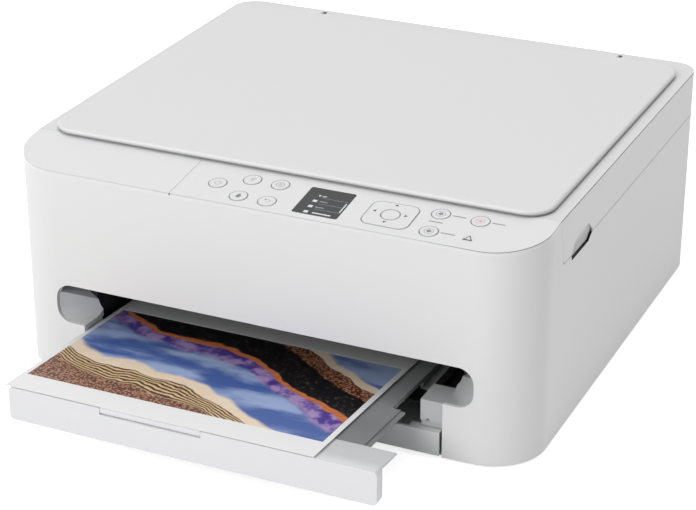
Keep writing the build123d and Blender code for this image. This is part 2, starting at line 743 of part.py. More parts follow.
with BuildPart() as motor_pinion:
    spur_gear(gear_x, pinion_depth, pinion_height, pinion_teeth, 0, pinion_tooth)
    rod_x(gear_x, -frame_inner_face + 6, pinion_depth, pinion_height, motor_shaft_radius)
finish(motor_pinion, "motor_pinion")

with BuildPart() as feed_motor:
    rod_x(-frame_inner_face, -frame_inner_face + 34, pinion_depth, pinion_height, motor_radius)
    rod_x(-frame_inner_face, -frame_inner_face + 8, pinion_depth, pinion_height,
          motor_shaft_radius + fit, Mode.SUBTRACT)
finish(feed_motor, "feed_motor")

platen_front = 120.0
platen_rear = 194.0
platen_top = platen_rib_top - 2.0
plinth_top = platen_top - 3.5
platen_bottom = plinth_top - 3.0
platen_half_width = carriage_home - 22.0
rib_pitch = (platen_half_width - 10.0) / 5
rib_half_thickness = 1.0
nozzle_gap = 1.4
cap_gap = 0.5
station_top = plinth_top + 3.0
cap_top = platen_rib_top + nozzle_gap - cap_gap

with BuildPart() as platen:
    block(-frame_inner_face, frame_inner_face, platen_front, platen_rear, platen_bottom, plinth_top)
    block(-platen_half_width, platen_half_width, platen_front, platen_rear, plinth_top, platen_top)
    for rib in range(-5, 6):
        rib_x = rib * rib_pitch
        block(rib_x - rib_half_thickness, rib_x + rib_half_thickness, platen_front, platen_rear,
              platen_top, platen_rib_top)
finish(platen, "platen")

with BuildPart() as maintenance_station:
    block(platen_half_width + 3, frame_inner_face - 3, platen_front + 2, platen_rear - 2, plinth_top,
          station_top)
    for cap_x in (carriage_home - 12, carriage_home + 4):
        block(cap_x, cap_x + 13, 148, 182, station_top, cap_top)
        block(cap_x + 1.5, cap_x + 11.5, 149.5, 180.5, station_top + 1, cap_top + 1, Mode.SUBTRACT)
    block(carriage_home + 24, carriage_home + 27, 140, 188, station_top, cap_top)
finish(maintenance_station, "maintenance_station")

# Carriage with its ink tanks, belt drive

carriage_left = carriage_home - carriage_half_width
carriage_right = carriage_home + carriage_half_width
tank_front = carriage_front + 3
tank_rear = carriage_rear - 3
bay_split = carriage_left + 30.0
nozzle_bottom = platen_rib_top + nozzle_gap
tank_top = carriage_top + 3.0
latch_top = tank_top + 3.0
hook_bottom = tank_top + 0.3
hook_top = hook_bottom + 2.0

with BuildPart() as carriage:
    block(carriage_left, carriage_right, carriage_front, carriage_rear, carriage_bottom, carriage_top)
    block(carriage_left + 3, bay_split - 1.5, tank_front, tank_rear, carriage_bottom + 4, carriage_top + 1,
          Mode.SUBTRACT)
    block(bay_split + 1.5, carriage_right - 3, tank_front, tank_rear, carriage_bottom + 4, carriage_top + 1,
          Mode.SUBTRACT)
    block(carriage_home - 14, carriage_home + 19, 146, 184, nozzle_bottom, carriage_bottom)
    block(carriage_left + 5, carriage_right - 5, carriage_rear, rail_depth + 7, rail_height - 7,
          rail_height + 7)
    rod_x(carriage_left, carriage_right, rail_depth, rail_height, rail_radius + fit, Mode.SUBTRACT)
    block(carriage_left + 10, carriage_right - 10, 94, carriage_front, hook_bottom, hook_top)
    block(carriage_left + 10, carriage_right - 10, carriage_front, carriage_front + 3, carriage_top, hook_top)
finish(carriage, "carriage")

with BuildPart() as pigment_black_tank:
    block(carriage_left + 3.3, bay_split - 1.8, tank_front + 0.3, tank_rear - 0.3, carriage_bottom + 4,
          tank_top)
    block(carriage_left + 8, bay_split - 6.5, tank_rear - 20, tank_rear - 8, tank_top, latch_top)
finish(pigment_black_tank, "pigment_black_tank")

with BuildPart() as colour_tanks:
    tank_width = (carriage_right - 3 - bay_split - 1.5 - 0.6) / 3
    for tank in range(3):
        tank_left = bay_split + 1.8 + tank * tank_width
        block(tank_left, tank_left + tank_width - 1.0, tank_front + 0.3, tank_rear - 0.3,
              carriage_bottom + 4, tank_top)
        block(tank_left + 2, tank_left + tank_width - 3, tank_rear - 20, tank_rear - 8, tank_top, latch_top)
    block(bay_split + 1.8, carriage_right - 3.3, tank_front + 0.3, tank_rear - 0.3,
          carriage_bottom + 4, carriage_bottom + 10)
finish(colour_tanks, "colour_tanks")

with BuildPart() as carriage_belt:
    with BuildSketch(Plane.XZ.offset(-(front_y + belt_depth - belt_width / 2))):
        with Locations((0, belt_height)):
            belt_radius = pulley_radius + 0.3 + belt_thickness
            SlotCenterToCenter(2 * pulley_half_span, 2 * belt_radius)
            SlotCenterToCenter(2 * pulley_half_span, 2 * (pulley_radius + 0.3), mode=Mode.SUBTRACT)
    extrude(amount=-belt_width)
finish(carriage_belt, "carriage_belt")

pulley_front = belt_depth - belt_width / 2 - 0.5
pulley_rear = belt_depth + belt_width / 2 + 0.5

with BuildPart() as drive_pulley:
    rod_y(pulley_half_span, pulley_front, pulley_rear, belt_height, pulley_radius)
    rod_y(pulley_half_span, pulley_rear, pulley_rear + 1, belt_height, pulley_radius + 1.3)
    rod_y(pulley_half_span, pulley_front - 1, bracket_depth + bracket_thickness + 6, belt_height,
          motor_shaft_radius)
    rod_y(pulley_half_span, pulley_front - 1, pulley_front, belt_height, pulley_radius - 2)
    block(pulley_half_span - 0.5, pulley_half_span + 0.5, pulley_front - 1.5, pulley_front - 0.5,
          belt_height - 3.5, belt_height + 3.5)
finish(drive_pulley, "drive_pulley")

with BuildPart() as idler_pulley:
    rod_y(-pulley_half_span, pulley_front, pulley_rear, belt_height, pulley_radius)
    rod_y(-pulley_half_span, pulley_rear, pulley_rear + 1, belt_height, pulley_radius + 1.3)
    with BuildSketch(Plane.XZ.offset(-(front_y + pulley_front - 1))):
        with Locations((-pulley_half_span, belt_height)):
            with PolarLocations(4.6, 4):
                Circle(0.8)
    extrude(amount=-2)
    rod_y(-pulley_half_span, pulley_front - 2, pulley_rear + 2, belt_height, 3.0 + fit, Mode.SUBTRACT)
finish(idler_pulley, "idler_pulley")

with BuildPart() as carriage_motor:
    rod_y(pulley_half_span, bracket_depth + bracket_thickness, bracket_depth + bracket_thickness + 32,
          belt_height, motor_radius - 1)
    rod_y(pulley_half_span, bracket_depth + bracket_thickness, bracket_depth + bracket_thickness + 8,
          belt_height, motor_shaft_radius + fit, Mode.SUBTRACT)
finish(carriage_motor, "carriage_motor")

# Paper pickup

arm_half_span = 26.0

with BuildPart() as pickup_arm:
    rod_x(-34.5, 34.5, pickup_pivot_depth, pickup_pivot_height, pivot_radius)
    for side in (-1, 1):
        cheek = sorted((side * (arm_half_span - 1.5), side * (arm_half_span + 1.5)))
        arm_outline = [(pickup_depth - 4, pickup_height - 4), (pickup_depth + 4, pickup_height - 4.5),
                       (pickup_pivot_depth + 4, pickup_pivot_height - 4),
                       (pickup_pivot_depth + 4, pickup_pivot_height + 3.5),
                       (pickup_depth - 4, pickup_height + 5)]
        bar_x(arm_outline, cheek[0], cheek[1])
        rod_x(cheek[0] - 1, cheek[1] + 1, pickup_depth, pickup_height, 2.5 + fit, Mode.SUBTRACT)
finish(pickup_arm, "pickup_arm")

with BuildPart() as pickup_roller:
    for side in (-1, 1):
        tyre = sorted((side * 8.0, side * 22.0))
        rod_x(tyre[0], tyre[1], pickup_depth, pickup_height, pickup_radius)
        for groove in range(12):
            angle = radians(groove * 30.0)
            rod_x(tyre[0] - 1, tyre[1] + 1, pickup_depth + (pickup_radius + 0.6) * cos(angle),
                  pickup_height + (pickup_radius + 0.6) * sin(angle), 1.1, Mode.SUBTRACT)
    rod_x(-28.5, 28.5, pickup_depth, pickup_height, 2.5)
finish(pickup_roller, "pickup_roller")

# Electronics at the back

with BuildPart() as main_board:
    block(board_span[0], board_span[1], board_face - board_thickness, board_face,
          board_heights[0], board_heights[1])
    block(usb_x - usb_size[0] / 2, usb_x + usb_size[0] / 2, board_face, body_depth,
          usb_height - usb_size[1] / 2, usb_height + usb_size[1] / 2)
    block(usb_x - 4.2, usb_x + 4.2, body_depth - 9, body_depth + 1, usb_height - 3.8, usb_height + 3.8,
          Mode.SUBTRACT)
    block(usb_x - 2.8, usb_x + 2.8, body_depth - 9, body_depth - 1, usb_height - 1.6, usb_height + 1.6)
    chip_face = board_face - board_thickness
    block(usb_x + 24, usb_x + 48, chip_face - 2, chip_face, usb_height - 10, usb_height + 14)
    block(usb_x - 36, usb_x - 22, chip_face - 1.5, chip_face, usb_height - 4, usb_height + 10)
    block(usb_x + 8, usb_x + 38, chip_face - 6, chip_face, board_heights[1] - 10, board_heights[1] - 3)
finish(main_board, "main_board")

supply_front = frame_rear + 4.0
supply_rear = rear_inner - 13.5
supply_side = frame_inner_face - 3.0
supply_width = 41.0
supply_top = inlet_height + 48.0

with BuildPart() as power_supply:
    block(supply_side - supply_width, supply_side, supply_front, supply_rear, bay_floor, supply_top)
    block(supply_side - supply_width + 2, supply_side - 2, supply_front - 1, supply_front, bay_floor + 4,
          supply_top - 4)
finish(power_supply, "power_supply")

with BuildPart() as power_inlet:
    block(inlet_x - inlet_size[0] / 2, inlet_x + inlet_size[0] / 2, supply_rear, body_depth,
          inlet_height - inlet_size[1] / 2, inlet_height + inlet_size[1] / 2)
    with BuildSketch(Plane.XZ.offset(-(front_y + body_depth))):
        with Locations((inlet_x, inlet_height)):
            SlotOverall(16.5, 9.5)
    extrude(amount=11, mode=Mode.SUBTRACT)
    for pin_x in (inlet_x - 3.8, inlet_x + 3.8):
        rod_y(pin_x, body_depth - 11, body_depth - 2, inlet_height, 1.2)
finish(power_inlet, "power_inlet")

# Cassette and its paper guides

cassette_floor_top = cassette_bottom + cassette_floor
guide_bottom = cassette_floor_top + 0.2
rack_height = 2.0
rack_half_gap = rack_module * guide_pinion_teeth / 2
fence_half_gap = 109.5
fence_thickness = 2.0
fence_top = 16.0
guide_stud_radius = 2.0
rear_guide_depth = 283.0

with BuildPart() as cassette:
    block(-cassette_half_width, cassette_half_width, 0, cassette_length, cassette_bottom, cassette_floor_top)
    for side in (-1, 1):
        wall = sorted((side * (cassette_half_width - cassette_wall), side * cassette_half_width))
        block(wall[0], wall[1], 0, cassette_length, cassette_bottom, cassette_top)
        rear = sorted((side * 31.0, side * cassette_half_width))
        block(rear[0], rear[1], cassette_length - cassette_wall, cassette_length, cassette_bottom,
              cassette_top)
        flange_span = sorted((side * 106.0, side * cassette_front_half_width))
        block(flange_span[0], flange_span[1], 0, 8, cassette_front_height - 1.6, cassette_front_height)
    block(-cassette_front_half_width, cassette_front_half_width, 0, cassette_front_wall,
          foot_height + 0.4, cassette_front_height)
    rod_z(0, guide_depth, cassette_floor_top, guide_bottom + rack_height - 0.2, guide_stud_radius)
    block(-1.65, 1.65, 198, 300, cassette_floor_top - 0.9, cassette_floor_top + 1, Mode.SUBTRACT)
finish(cassette, "cassette")

rack_tail = 8.0


def paper_guide(side):
    """Side guide: a fence on a rack; the racks of both sides face the pinion."""
    fence = sorted((side * fence_half_gap, side * (fence_half_gap + fence_thickness)))
    block(fence[0], fence[1], 100, 200, guide_bottom, fence_top)
    foot = sorted((side * (fence_half_gap - 8), side * (fence_half_gap + fence_thickness)))
    block(foot[0], foot[1], 135, 180, guide_bottom, guide_bottom + 1.2)
    rack = sorted((side * fence_half_gap, -side * rack_tail))
    far = -side * (rack_half_gap + 1.2)
    depths = sorted((guide_depth + far, guide_depth + far - side * 4.0))
    block(rack[0], rack[1], depths[0], depths[1], guide_bottom, guide_bottom + rack_height)
    with BuildSketch(Plane.XY.offset(guide_bottom)) as teeth:
        for tooth in range(-2, 17):
            tooth_x = side * (tooth + 0.5) * pi * rack_module
            with Locations((tooth_x, front_y + guide_depth - side * rack_half_gap)):
                Polygon((-0.8, -side * 1.3), (0.8, -side * 1.3), (0.4, side * 0.8), (-0.4, side * 0.8),
                        align=None)
    extrude(teeth.sketch, amount=rack_height)


with BuildPart() as left_paper_guide:
    paper_guide(-1)
finish(left_paper_guide, "left_paper_guide")

with BuildPart() as right_paper_guide:
    paper_guide(1)
finish(right_paper_guide, "right_paper_guide")

with BuildPart() as guide_pinion:
    with BuildSketch(Plane.XY.offset(guide_bottom)):
        with Locations((0, front_y + guide_depth)):
            Circle(rack_half_gap - 1.1 * rack_module)
            with PolarLocations(rack_half_gap, guide_pinion_teeth):
                Polygon(*tooth_outline(rack_module), align=None)
            Circle(guide_stud_radius + fit, mode=Mode.SUBTRACT)
    extrude(amount=rack_height)
finish(guide_pinion, "guide_pinion")

with BuildPart() as rear_paper_guide:
    block(-7, 7, rear_guide_depth - 21, rear_guide_depth, guide_bottom, guide_bottom + 1.2)
    block(-7, 7, rear_guide_depth - 2, rear_guide_depth, guide_bottom, 13.0)
    block(-1.35, 1.35, rear_guide_depth - 20, rear_guide_depth - 1, cassette_floor_top - 0.6,
          guide_bottom + 1)
finish(rear_paper_guide, "rear_paper_guide")

# Output tray: lip, stop flap, floor and the printed sheet

lip_front = -tray_reach
lip_top = sheet_height(lip_front) - rib_height
stop_depth = lip_front + 2.2
stop_height = lip_top - 2.4
stop_radius = 2.2
stop_crown = 3.05               # rounded top of the flap, clear of the sheet as it swings
notch_floor = stop_height - stop_radius - slide_gap
plate_thickness = 1.0


def tray_top(depth):
    """Top of the tray's floor at a depth: the ribs stand on it and carry the sheet."""
    return sheet_height(depth) - rib_height


with BuildPart() as tray_lip:
    lip_rear = lip_front + lip_plate_depth
    skin = [
        (lip_front, lip_bottom),
        (lip_front + lip_wall, lip_bottom),
        (lip_front + lip_wall, tray_top(lip_front + lip_wall) - plate_thickness),
        (lip_rear, tray_top(lip_rear) - plate_thickness),
        (lip_rear, tray_top(lip_rear)),
        (lip_front, lip_top),
    ]
    bar_x(skin, -lip_half_width, lip_half_width)
    for side in (-1, 1):
        end = sorted((side * lip_half_width, side * (lip_half_width - lip_wall)))
        end_wall = [
            (lip_front, lip_bottom),
            (lip_front + lip_bar_depth, lip_bottom),
            (lip_front + lip_bar_depth, tray_top(lip_front + lip_bar_depth)),
            (lip_front, lip_top),
        ]
        bar_x(end_wall, end[0], end[1])
    lining = [
        (lip_front, notch_floor - 1.6),
        (lip_front + 6.2, notch_floor - 1.6),
        (lip_front + 6.2, tray_top(lip_front + 6.2)),
        (lip_front, lip_top),
    ]
    bar_x(lining, stop_left - 2.5, stop_right + 2.5)
    block(stop_left, stop_right, lip_front - 1, lip_front + 4.7, notch_floor, lip_top + 2, Mode.SUBTRACT)
    rod_x(stop_left - 2, stop_right + 2, stop_depth, stop_height, 1.0 + fit, Mode.SUBTRACT)
    with BuildSketch(Plane.XZ.offset(-(front_y + lip_front - 1))) as front_outline:
        with Locations((0, (lip_bottom + lip_top) / 2)):
            RectangleRounded(2 * lip_half_width, lip_top - lip_bottom, lip_corner)
    extrude(amount=-(lip_plate_depth + 2), mode=Mode.INTERSECT)
finish(tray_lip, "tray_lip")

with BuildPart() as paper_stop:
    rod_x(stop_left + slide_gap, stop_right - slide_gap, stop_depth, stop_height, stop_radius)
    with BuildSketch(Plane.YZ.offset(stop_left + slide_gap)):
        with Locations((front_y + stop_depth, stop_height)):
            Circle(stop_crown)
            Rectangle(2 * stop_radius, stop_crown, align=(Align.CENTER, Align.MIN), mode=Mode.INTERSECT)
    extrude(amount=stop_right - stop_left - 2 * slide_gap)
    rod_x(stop_left - 1.8, stop_right + 1.8, stop_depth, stop_height, 1.0)
finish(paper_stop, "paper_stop")

with BuildPart() as tray_floor:
    floor_start = lip_front + lip_bar_depth + 0.5
    floor_end = lip_front + tray_length
    step = lip_front + lip_plate_depth
    floor_section = [
        (floor_start, tray_top(floor_start) - plate_thickness - tray_plate),
        (floor_end, tray_top(floor_end) - tray_plate),
        (floor_end, tray_top(floor_end)),
        (step, tray_top(step)),
        (step, tray_top(step) - plate_thickness),
        (floor_start, tray_top(floor_start) - plate_thickness),
    ]
    bar_x(floor_section, -tray_half_width, tray_half_width)
    ledge_end = step + ledge_length
    ledge_section = [
        (step, tray_top(step) - plate_thickness - 1.5),
        (ledge_end, tray_top(ledge_end) - plate_thickness - 1.5),
        (ledge_end, tray_top(ledge_end)),
        (step, tray_top(step)),
    ]
    bar_x(ledge_section, -ledge_half_width, ledge_half_width)
    low_rail_section = [
        (step, tray_top(step) - plate_thickness - 1.5),
        (ledge_end, tray_top(ledge_end) - plate_thickness - 1.5),
        (ledge_end, tray_top(ledge_end) - plate_thickness),
        (step, tray_top(step) - plate_thickness),
    ]
    bar_x(low_rail_section, -ledge_half_width - ledge_rail, ledge_half_width + ledge_rail)
    rib_section = [
        (step, tray_top(step) - 0.5),
        (floor_end - 8, tray_top(floor_end - 8) - 0.5),
        (floor_end - 8, sheet_height(floor_end - 8)),
        (step, sheet_height(step)),
    ]
    for rib_x in (-94, -70, -46, -22, 2, 26, 50, 74):
        bar_x(rib_section, rib_x - 0.8, rib_x + 0.8)
    foot_start = pocket_depth + 15.0
    skirt = [
        (foot_start, runner_bottom),
        (floor_end, runner_bottom),
        (floor_end, tray_top(floor_end) - 1),
        (foot_start, tray_top(foot_start) - 1),
    ]
    for side in (-1, 1):
        wall = sorted((side * tray_half_width, side * (tray_half_width - 2)))
        bar_x(skirt, wall[0], wall[1])
        foot = sorted((side * (tray_half_width - 2), side * runner_half_width))
        block(foot[0], foot[1], foot_start, floor_end, runner_bottom, runner_bottom + runner_foot)
        edge_rail = sorted((side * tray_half_width, side * (tray_half_width - 1.2)))
        rail_section = [
            (ledge_end, tray_top(ledge_end) - 0.5),
            (floor_end, tray_top(floor_end) - 0.5),
            (floor_end, tray_top(floor_end) + 0.8),
            (ledge_end, tray_top(ledge_end) + 0.8),
        ]
        bar_x(rail_section, edge_rail[0], edge_rail[1])
finish(tray_floor, "tray_floor")

with BuildPart() as printed_sheet:
    with BuildSketch(sheet_plane):
        with Locations((sheet_offset, sheet_length / 2)):
            Rectangle(sheet_width, sheet_length)
    extrude(amount=sheet_thickness)
finish(printed_sheet, "printed_sheet")

# Scanner unit

housing_inner = half_width - case_wall
seam_edge = seam_gap / 2
ring_bottom = glass_bottom - 2.4
ring_margin = 9.0
post_inner = housing_inner - 17.5
rail_embed = 3.0                # how far the rail's ends stay inside the outer walls
fill_half_width = half_width - rear_corner_radius - 8.0
rim_line_bottom = rim_height - line_below_edge - line_groove
lug_inner = ear_half_thickness + 0.3
lug_outer = lug_inner + 3.7
lid_block_half = 16.0
lid_pocket_half = 8.5
lid_pocket = (lid_axis_depth - lid_barrel_radius - 1.3, lid_axis_depth + 5.0)
lid_pocket_floor = lid_axis_height - lid_barrel_radius - 1.3
lid_pin_end = 12.0

with BuildPart() as scanner_housing:
    extrude(body_plan(unit_bottom), amount=rim_line_bottom - unit_bottom)
    extrude(body_plan(rim_line_bottom, line_groove), amount=line_groove)
    extrude(body_plan(rim_height - line_below_edge), amount=line_below_edge)
    ahead = [
        (-5, split_height - 4),
        (seam_depth(split_height - 4) + seam_edge, split_height - 4),
        (seam_depth(rim_height + 4) + seam_edge, rim_height + 4),
        (-5, rim_height + 4),
    ]
    bar_x(ahead, -half_width - 1, half_width + 1, Mode.SUBTRACT)
    extrude(body_plan(unit_bottom + housing_floor, case_wall),
            amount=rim_height - housing_top - unit_bottom - housing_floor, mode=Mode.SUBTRACT)
    front_wall = [
        (seam_depth(unit_bottom + 1) + seam_edge, unit_bottom + 1),
        (seam_depth(unit_bottom + 1) + seam_edge + case_wall, unit_bottom + 1),
        (seam_depth(rim_height - 1) + seam_edge + case_wall, rim_height - 1),
        (seam_depth(rim_height - 1) + seam_edge, rim_height - 1),
    ]
    bar_x(front_wall, -housing_inner - 1, housing_inner + 1)
    ring_half = glass_length / 2 + ring_margin
    ring_front = glass_centre - glass_depth / 2 - ring_margin
    ring_rear = glass_centre + glass_depth / 2 + ring_margin
    block(-ring_half, ring_half, ring_front, ring_rear, ring_bottom, rim_height - 1)
    open_half = glass_length / 2 - aperture_margin
    open_front = glass_centre - glass_depth / 2 + aperture_margin
    open_rear = glass_centre + glass_depth / 2 - aperture_margin
    block(-open_half, open_half, open_front, open_rear, ring_bottom - 1, rim_height + 1, Mode.SUBTRACT)
    glass_half = glass_length / 2 + inset_gap
    block(-glass_half, glass_half, glass_centre - glass_depth / 2 - inset_gap,
          glass_centre + glass_depth / 2 + inset_gap, glass_bottom, rim_height + 1, Mode.SUBTRACT)
    corner_fill = [
        (scanner_axis_depth, unit_bottom + 1),
        (body_depth - 1, unit_bottom + 1),
        (body_depth - 1, scanner_axis_height),
        (rear_inner, scanner_axis_height),
    ]
    bar_x(corner_fill, -fill_half_width, fill_half_width)
    with BuildSketch(Plane.YZ.offset(-half_width - 1)) as rear_round:
        with Locations((front_y + scanner_axis_depth + 5, scanner_axis_height - 5)):
            Rectangle(10, 10)
        with Locations((front_y + scanner_axis_depth, scanner_axis_height)):
            Circle(body_depth - scanner_axis_depth, mode=Mode.SUBTRACT)
    extrude(amount=body_width + 2, mode=Mode.SUBTRACT)
    for side in (-1, 1):
        ear_x = side * hinge_half_span
        for lug_side in (-1, 1):
            lug = sorted((ear_x + lug_side * lug_inner, ear_x + lug_side * lug_outer))
            block(lug[0], lug[1], scanner_axis_depth - 6, rear_inner + 0.5, unit_bottom + 1,
                  scanner_axis_height + 5)
        gap = ear_half_thickness + 0.3
        block(ear_x - gap, ear_x + gap, scanner_axis_depth - 6, body_depth + 1, unit_bottom - 1,
              scanner_axis_height + 5, Mode.SUBTRACT)
        rod_x(ear_x - gap - 2, ear_x + gap + 2, scanner_axis_depth, scanner_axis_height, scanner_pin_radius)
        lid_x = side * lid_hinge_half_span
        block(lid_x - lid_block_half, lid_x + lid_block_half, lid_pocket[0] - 2, rear_inner + 0.5,
              lid_pocket_floor - 2, rim_height - 1)
        block(lid_x - lid_pocket_half, lid_x + lid_pocket_half, lid_pocket[0], lid_pocket[1],
              lid_pocket_floor, rim_height + 1, Mode.SUBTRACT)
        rod_x(lid_x - lid_pin_end - 0.5, lid_x + lid_pin_end + 0.5, lid_axis_depth, lid_axis_height,
              lid_pin_radius + fit, Mode.SUBTRACT)
        post = sorted((side * post_inner, side * (housing_inner + 0.5)))
        block(post[0], post[1], glass_centre - 7, glass_centre + 7, unit_bottom + 1, scan_rail_height + 7)
        rod_x(*sorted((side * (post_inner - 1), side * (housing_inner - rail_embed))), glass_centre,
              scan_rail_height, scan_rail_radius + fit, Mode.SUBTRACT)
    bar_x(grip_tab, half_width - case_wall, half_width)
    bar_x(grip_recess, half_width - grip_sink, half_width + 1, Mode.SUBTRACT)
    bar_x(grip_slit, half_width - grip_slit_reach, half_width + 1, Mode.SUBTRACT)
finish(scanner_housing, "scanner_housing")

with BuildPart() as platen_glass:
    block(-glass_length / 2, glass_length / 2, glass_centre - glass_depth / 2, glass_centre + glass_depth / 2,
          glass_bottom, glass_top)
finish(platen_glass, "platen_glass")

with BuildPart() as scan_rail:
    rod_x(rail_embed - housing_inner, housing_inner - rail_embed, glass_centre, scan_rail_height,
          scan_rail_radius)
finish(scan_rail, "scan_rail")

head_half = 11.0
head_bottom = split_height + 13.0
head_reach = (glass_depth - 13.0) / 2

with BuildPart() as scan_head:
    block(scan_head_home - head_half, scan_head_home + head_half, glass_centre - head_reach,
          glass_centre + head_reach, head_bottom, ring_bottom - 0.6)
    block(scan_head_home - head_half, scan_head_home + head_half, glass_centre - 8, glass_centre + 8,
          unit_bottom + housing_floor + slide_gap, head_bottom)
    rod_x(scan_head_home - head_half - 1, scan_head_home + head_half + 1, glass_centre,
          scan_rail_height, scan_rail_radius + fit, Mode.SUBTRACT)
    block(scan_head_home - 3, scan_head_home + 3, glass_centre - head_reach + 4,
          glass_centre + head_reach - 4, ring_bottom - 2.6, ring_bottom, Mode.SUBTRACT)
finish(scan_head, "scan_head")

# Document lid

with BuildPart() as document_lid:
    with BuildSketch(Plane.XY.offset(lid_bottom)):
        with Locations((0, front_y + (lid_front + lid_rear) / 2)):
            RectangleRounded(2 * lid_half_width, lid_rear - lid_front, lid_corner)
    extrude(amount=lid_thickness)
    fillet(document_lid.faces().sort_by(Axis.Z)[-1].edges(), lid_edge)
    with BuildSketch(Plane.XY.offset(lid_bottom)):
        with Locations((0, front_y + (lid_front + lid_rear) / 2)):
            RectangleRounded(2 * (lid_half_width - lid_skin), lid_rear - lid_front - 2 * lid_skin,
                             lid_corner - lid_skin)
    extrude(amount=lid_thickness - lid_skin, mode=Mode.SUBTRACT)
    for side in (-1, 1):
        lid_x = side * lid_hinge_half_span
        block(lid_x - 7, lid_x + 7, lid_rear - 12, lid_axis_depth, rim_height + lid_arm_gap,
              lid_top - lid_skin + 0.1)
        rod_x(lid_x - 7, lid_x + 7, lid_axis_depth, lid_axis_height, lid_barrel_radius)
        rod_x(lid_x - lid_pin_end, lid_x + lid_pin_end, lid_axis_depth, lid_axis_height, lid_pin_radius)
finish(document_lid, "document_lid")

with BuildPart() as lid_pad:
    block(28.5 - lid_half_width, lid_half_width - 28.5, glass_centre - 110, glass_centre + 110,
          lid_top - lid_skin - pad_thickness, lid_top - lid_skin)
finish(lid_pad, "lid_pad")
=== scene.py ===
from math import atan2, pi, radians, tan

import bpy
from mathutils import Matrix, Vector


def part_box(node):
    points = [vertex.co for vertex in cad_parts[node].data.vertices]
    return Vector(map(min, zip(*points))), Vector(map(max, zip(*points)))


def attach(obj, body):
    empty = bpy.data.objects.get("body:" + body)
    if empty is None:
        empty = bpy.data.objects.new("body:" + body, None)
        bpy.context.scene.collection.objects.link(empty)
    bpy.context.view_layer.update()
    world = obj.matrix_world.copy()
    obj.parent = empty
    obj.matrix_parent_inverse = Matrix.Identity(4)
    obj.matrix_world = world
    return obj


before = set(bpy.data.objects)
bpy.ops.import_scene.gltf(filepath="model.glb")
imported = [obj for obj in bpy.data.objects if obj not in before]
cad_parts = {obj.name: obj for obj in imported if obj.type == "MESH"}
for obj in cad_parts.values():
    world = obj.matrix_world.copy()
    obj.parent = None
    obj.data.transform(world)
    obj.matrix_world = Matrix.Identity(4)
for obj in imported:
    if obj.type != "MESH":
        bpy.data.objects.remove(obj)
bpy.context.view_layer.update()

MM = 0.001

# Places of the printer's main faces, read from the frame
case_low, case_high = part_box("outer_case")
lid_low, lid_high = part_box("document_lid")
sheet_low, sheet_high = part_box("printed_sheet")
lip_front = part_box("tray_lip")[0].y
front_y = case_low.y
rim_height = 157.0 * MM
split_height = 124.0 * MM
strip_front_height = 150.8 * MM
strip_depth = 48.0 * MM
strip_angle = atan2(rim_height - strip_front_height, strip_depth)
strip_frame = Matrix.Translation((0, front_y, strip_front_height)) @ Matrix.Rotation(strip_angle, 4, "X")
lid_corner = 18 * MM

# Finger grip in the right side: the painted dark shade in it, how deep, from front to rear and from bottom to
# top
grip_depth = 9 * MM
grip_front, grip_rear = front_y + 70.5 * MM, front_y + 112.6 * MM
grip_bottom, grip_top = 119.6 * MM, 126.7 * MM

# Key centres on the control strip: across, and up the slope from its front edge
key_places = {
    "power": (-36.6 * MM, 21.5 * MM),
    "wireless": (-17.0 * MM, 32.2 * MM),
    "info": (2.9 * MM, 32.2 * MM),
    "home": (-16.5 * MM, 11.0 * MM),
    "back": (3.6 * MM, 11.0 * MM),
    "black_start": (113.2 * MM, 32.4 * MM),
    "colour_start": (113.8 * MM, 11.0 * MM),
    "stop": (139.4 * MM, 32.2 * MM),
}
pad_centre = (84.0 * MM, 21.0 * MM)
screen_centre = (38.8 * MM, 21.0 * MM)
key_proud = 0.25 * MM
ink_lift = 0.04 * MM


# Shader arithmetic

class Value:
    """A number coming out of a shader node; arithmetic on it adds Math nodes."""

    def __init__(self, tree, socket):
        self.tree = tree
        self.socket = socket

    def math(self, operation, *given):
        return make_node(self.tree, "ShaderNodeMath", {"operation": operation}, given)

    def __add__(self, other):
        return self.math("ADD", self, other)

    def __radd__(self, other):
        return self.math("ADD", other, self)

    def __sub__(self, other):
        return self.math("SUBTRACT", self, other)

    def __rsub__(self, other):
        return self.math("SUBTRACT", other, self)

    def __mul__(self, other):
        return self.math("MULTIPLY", self, other)

    def __rmul__(self, other):
        return self.math("MULTIPLY", other, self)

    def __truediv__(self, other):
        return self.math("DIVIDE", self, other)

    def __pow__(self, other):
        return self.math("POWER", self, other)

    def __gt__(self, other):
        return self.math("GREATER_THAN", self, other)

    def __lt__(self, other):
        return self.math("LESS_THAN", self, other)

    def __abs__(self):
        return self.math("ABSOLUTE", self)

    def wave(self):
        return self.math("SINE", self)

    def highest(self, other):
        return self.math("MAXIMUM", self, other)

    def fraction(self):
        return self.math("FRACT", self)


def plug_in(tree, socket, given):
    """Give a socket a number, a colour or the output of another node."""
    if isinstance(given, Value):
        tree.links.new(given.socket, socket)
    elif isinstance(given, bpy.types.NodeSocket):
        tree.links.new(given, socket)
    else:
        socket.default_value = given


def make_node(tree, kind, settings, given, output=0):
    """Add a node: its settings first, then its sockets, in order or by their names or numbers in a dict."""
    node = tree.nodes.new(kind)
    for name, setting in settings.items():
        setattr(node, name, setting)
    pairs = given.items() if isinstance(given, dict) else enumerate(given)
    for key, item in pairs:
        plug_in(tree, node.inputs[key], item)
    return Value(tree, node.outputs[output])


def linear(red, green, blue):
    """Colour as read from a screen, 0 to 255, as the linear colour that a shader takes."""
    def part(level):
        level = level / 255
        return level / 12.92 if level <= 0.04045 else ((level + 0.055) / 1.055) ** 2.4
    return (part(red), part(green), part(blue), 1)


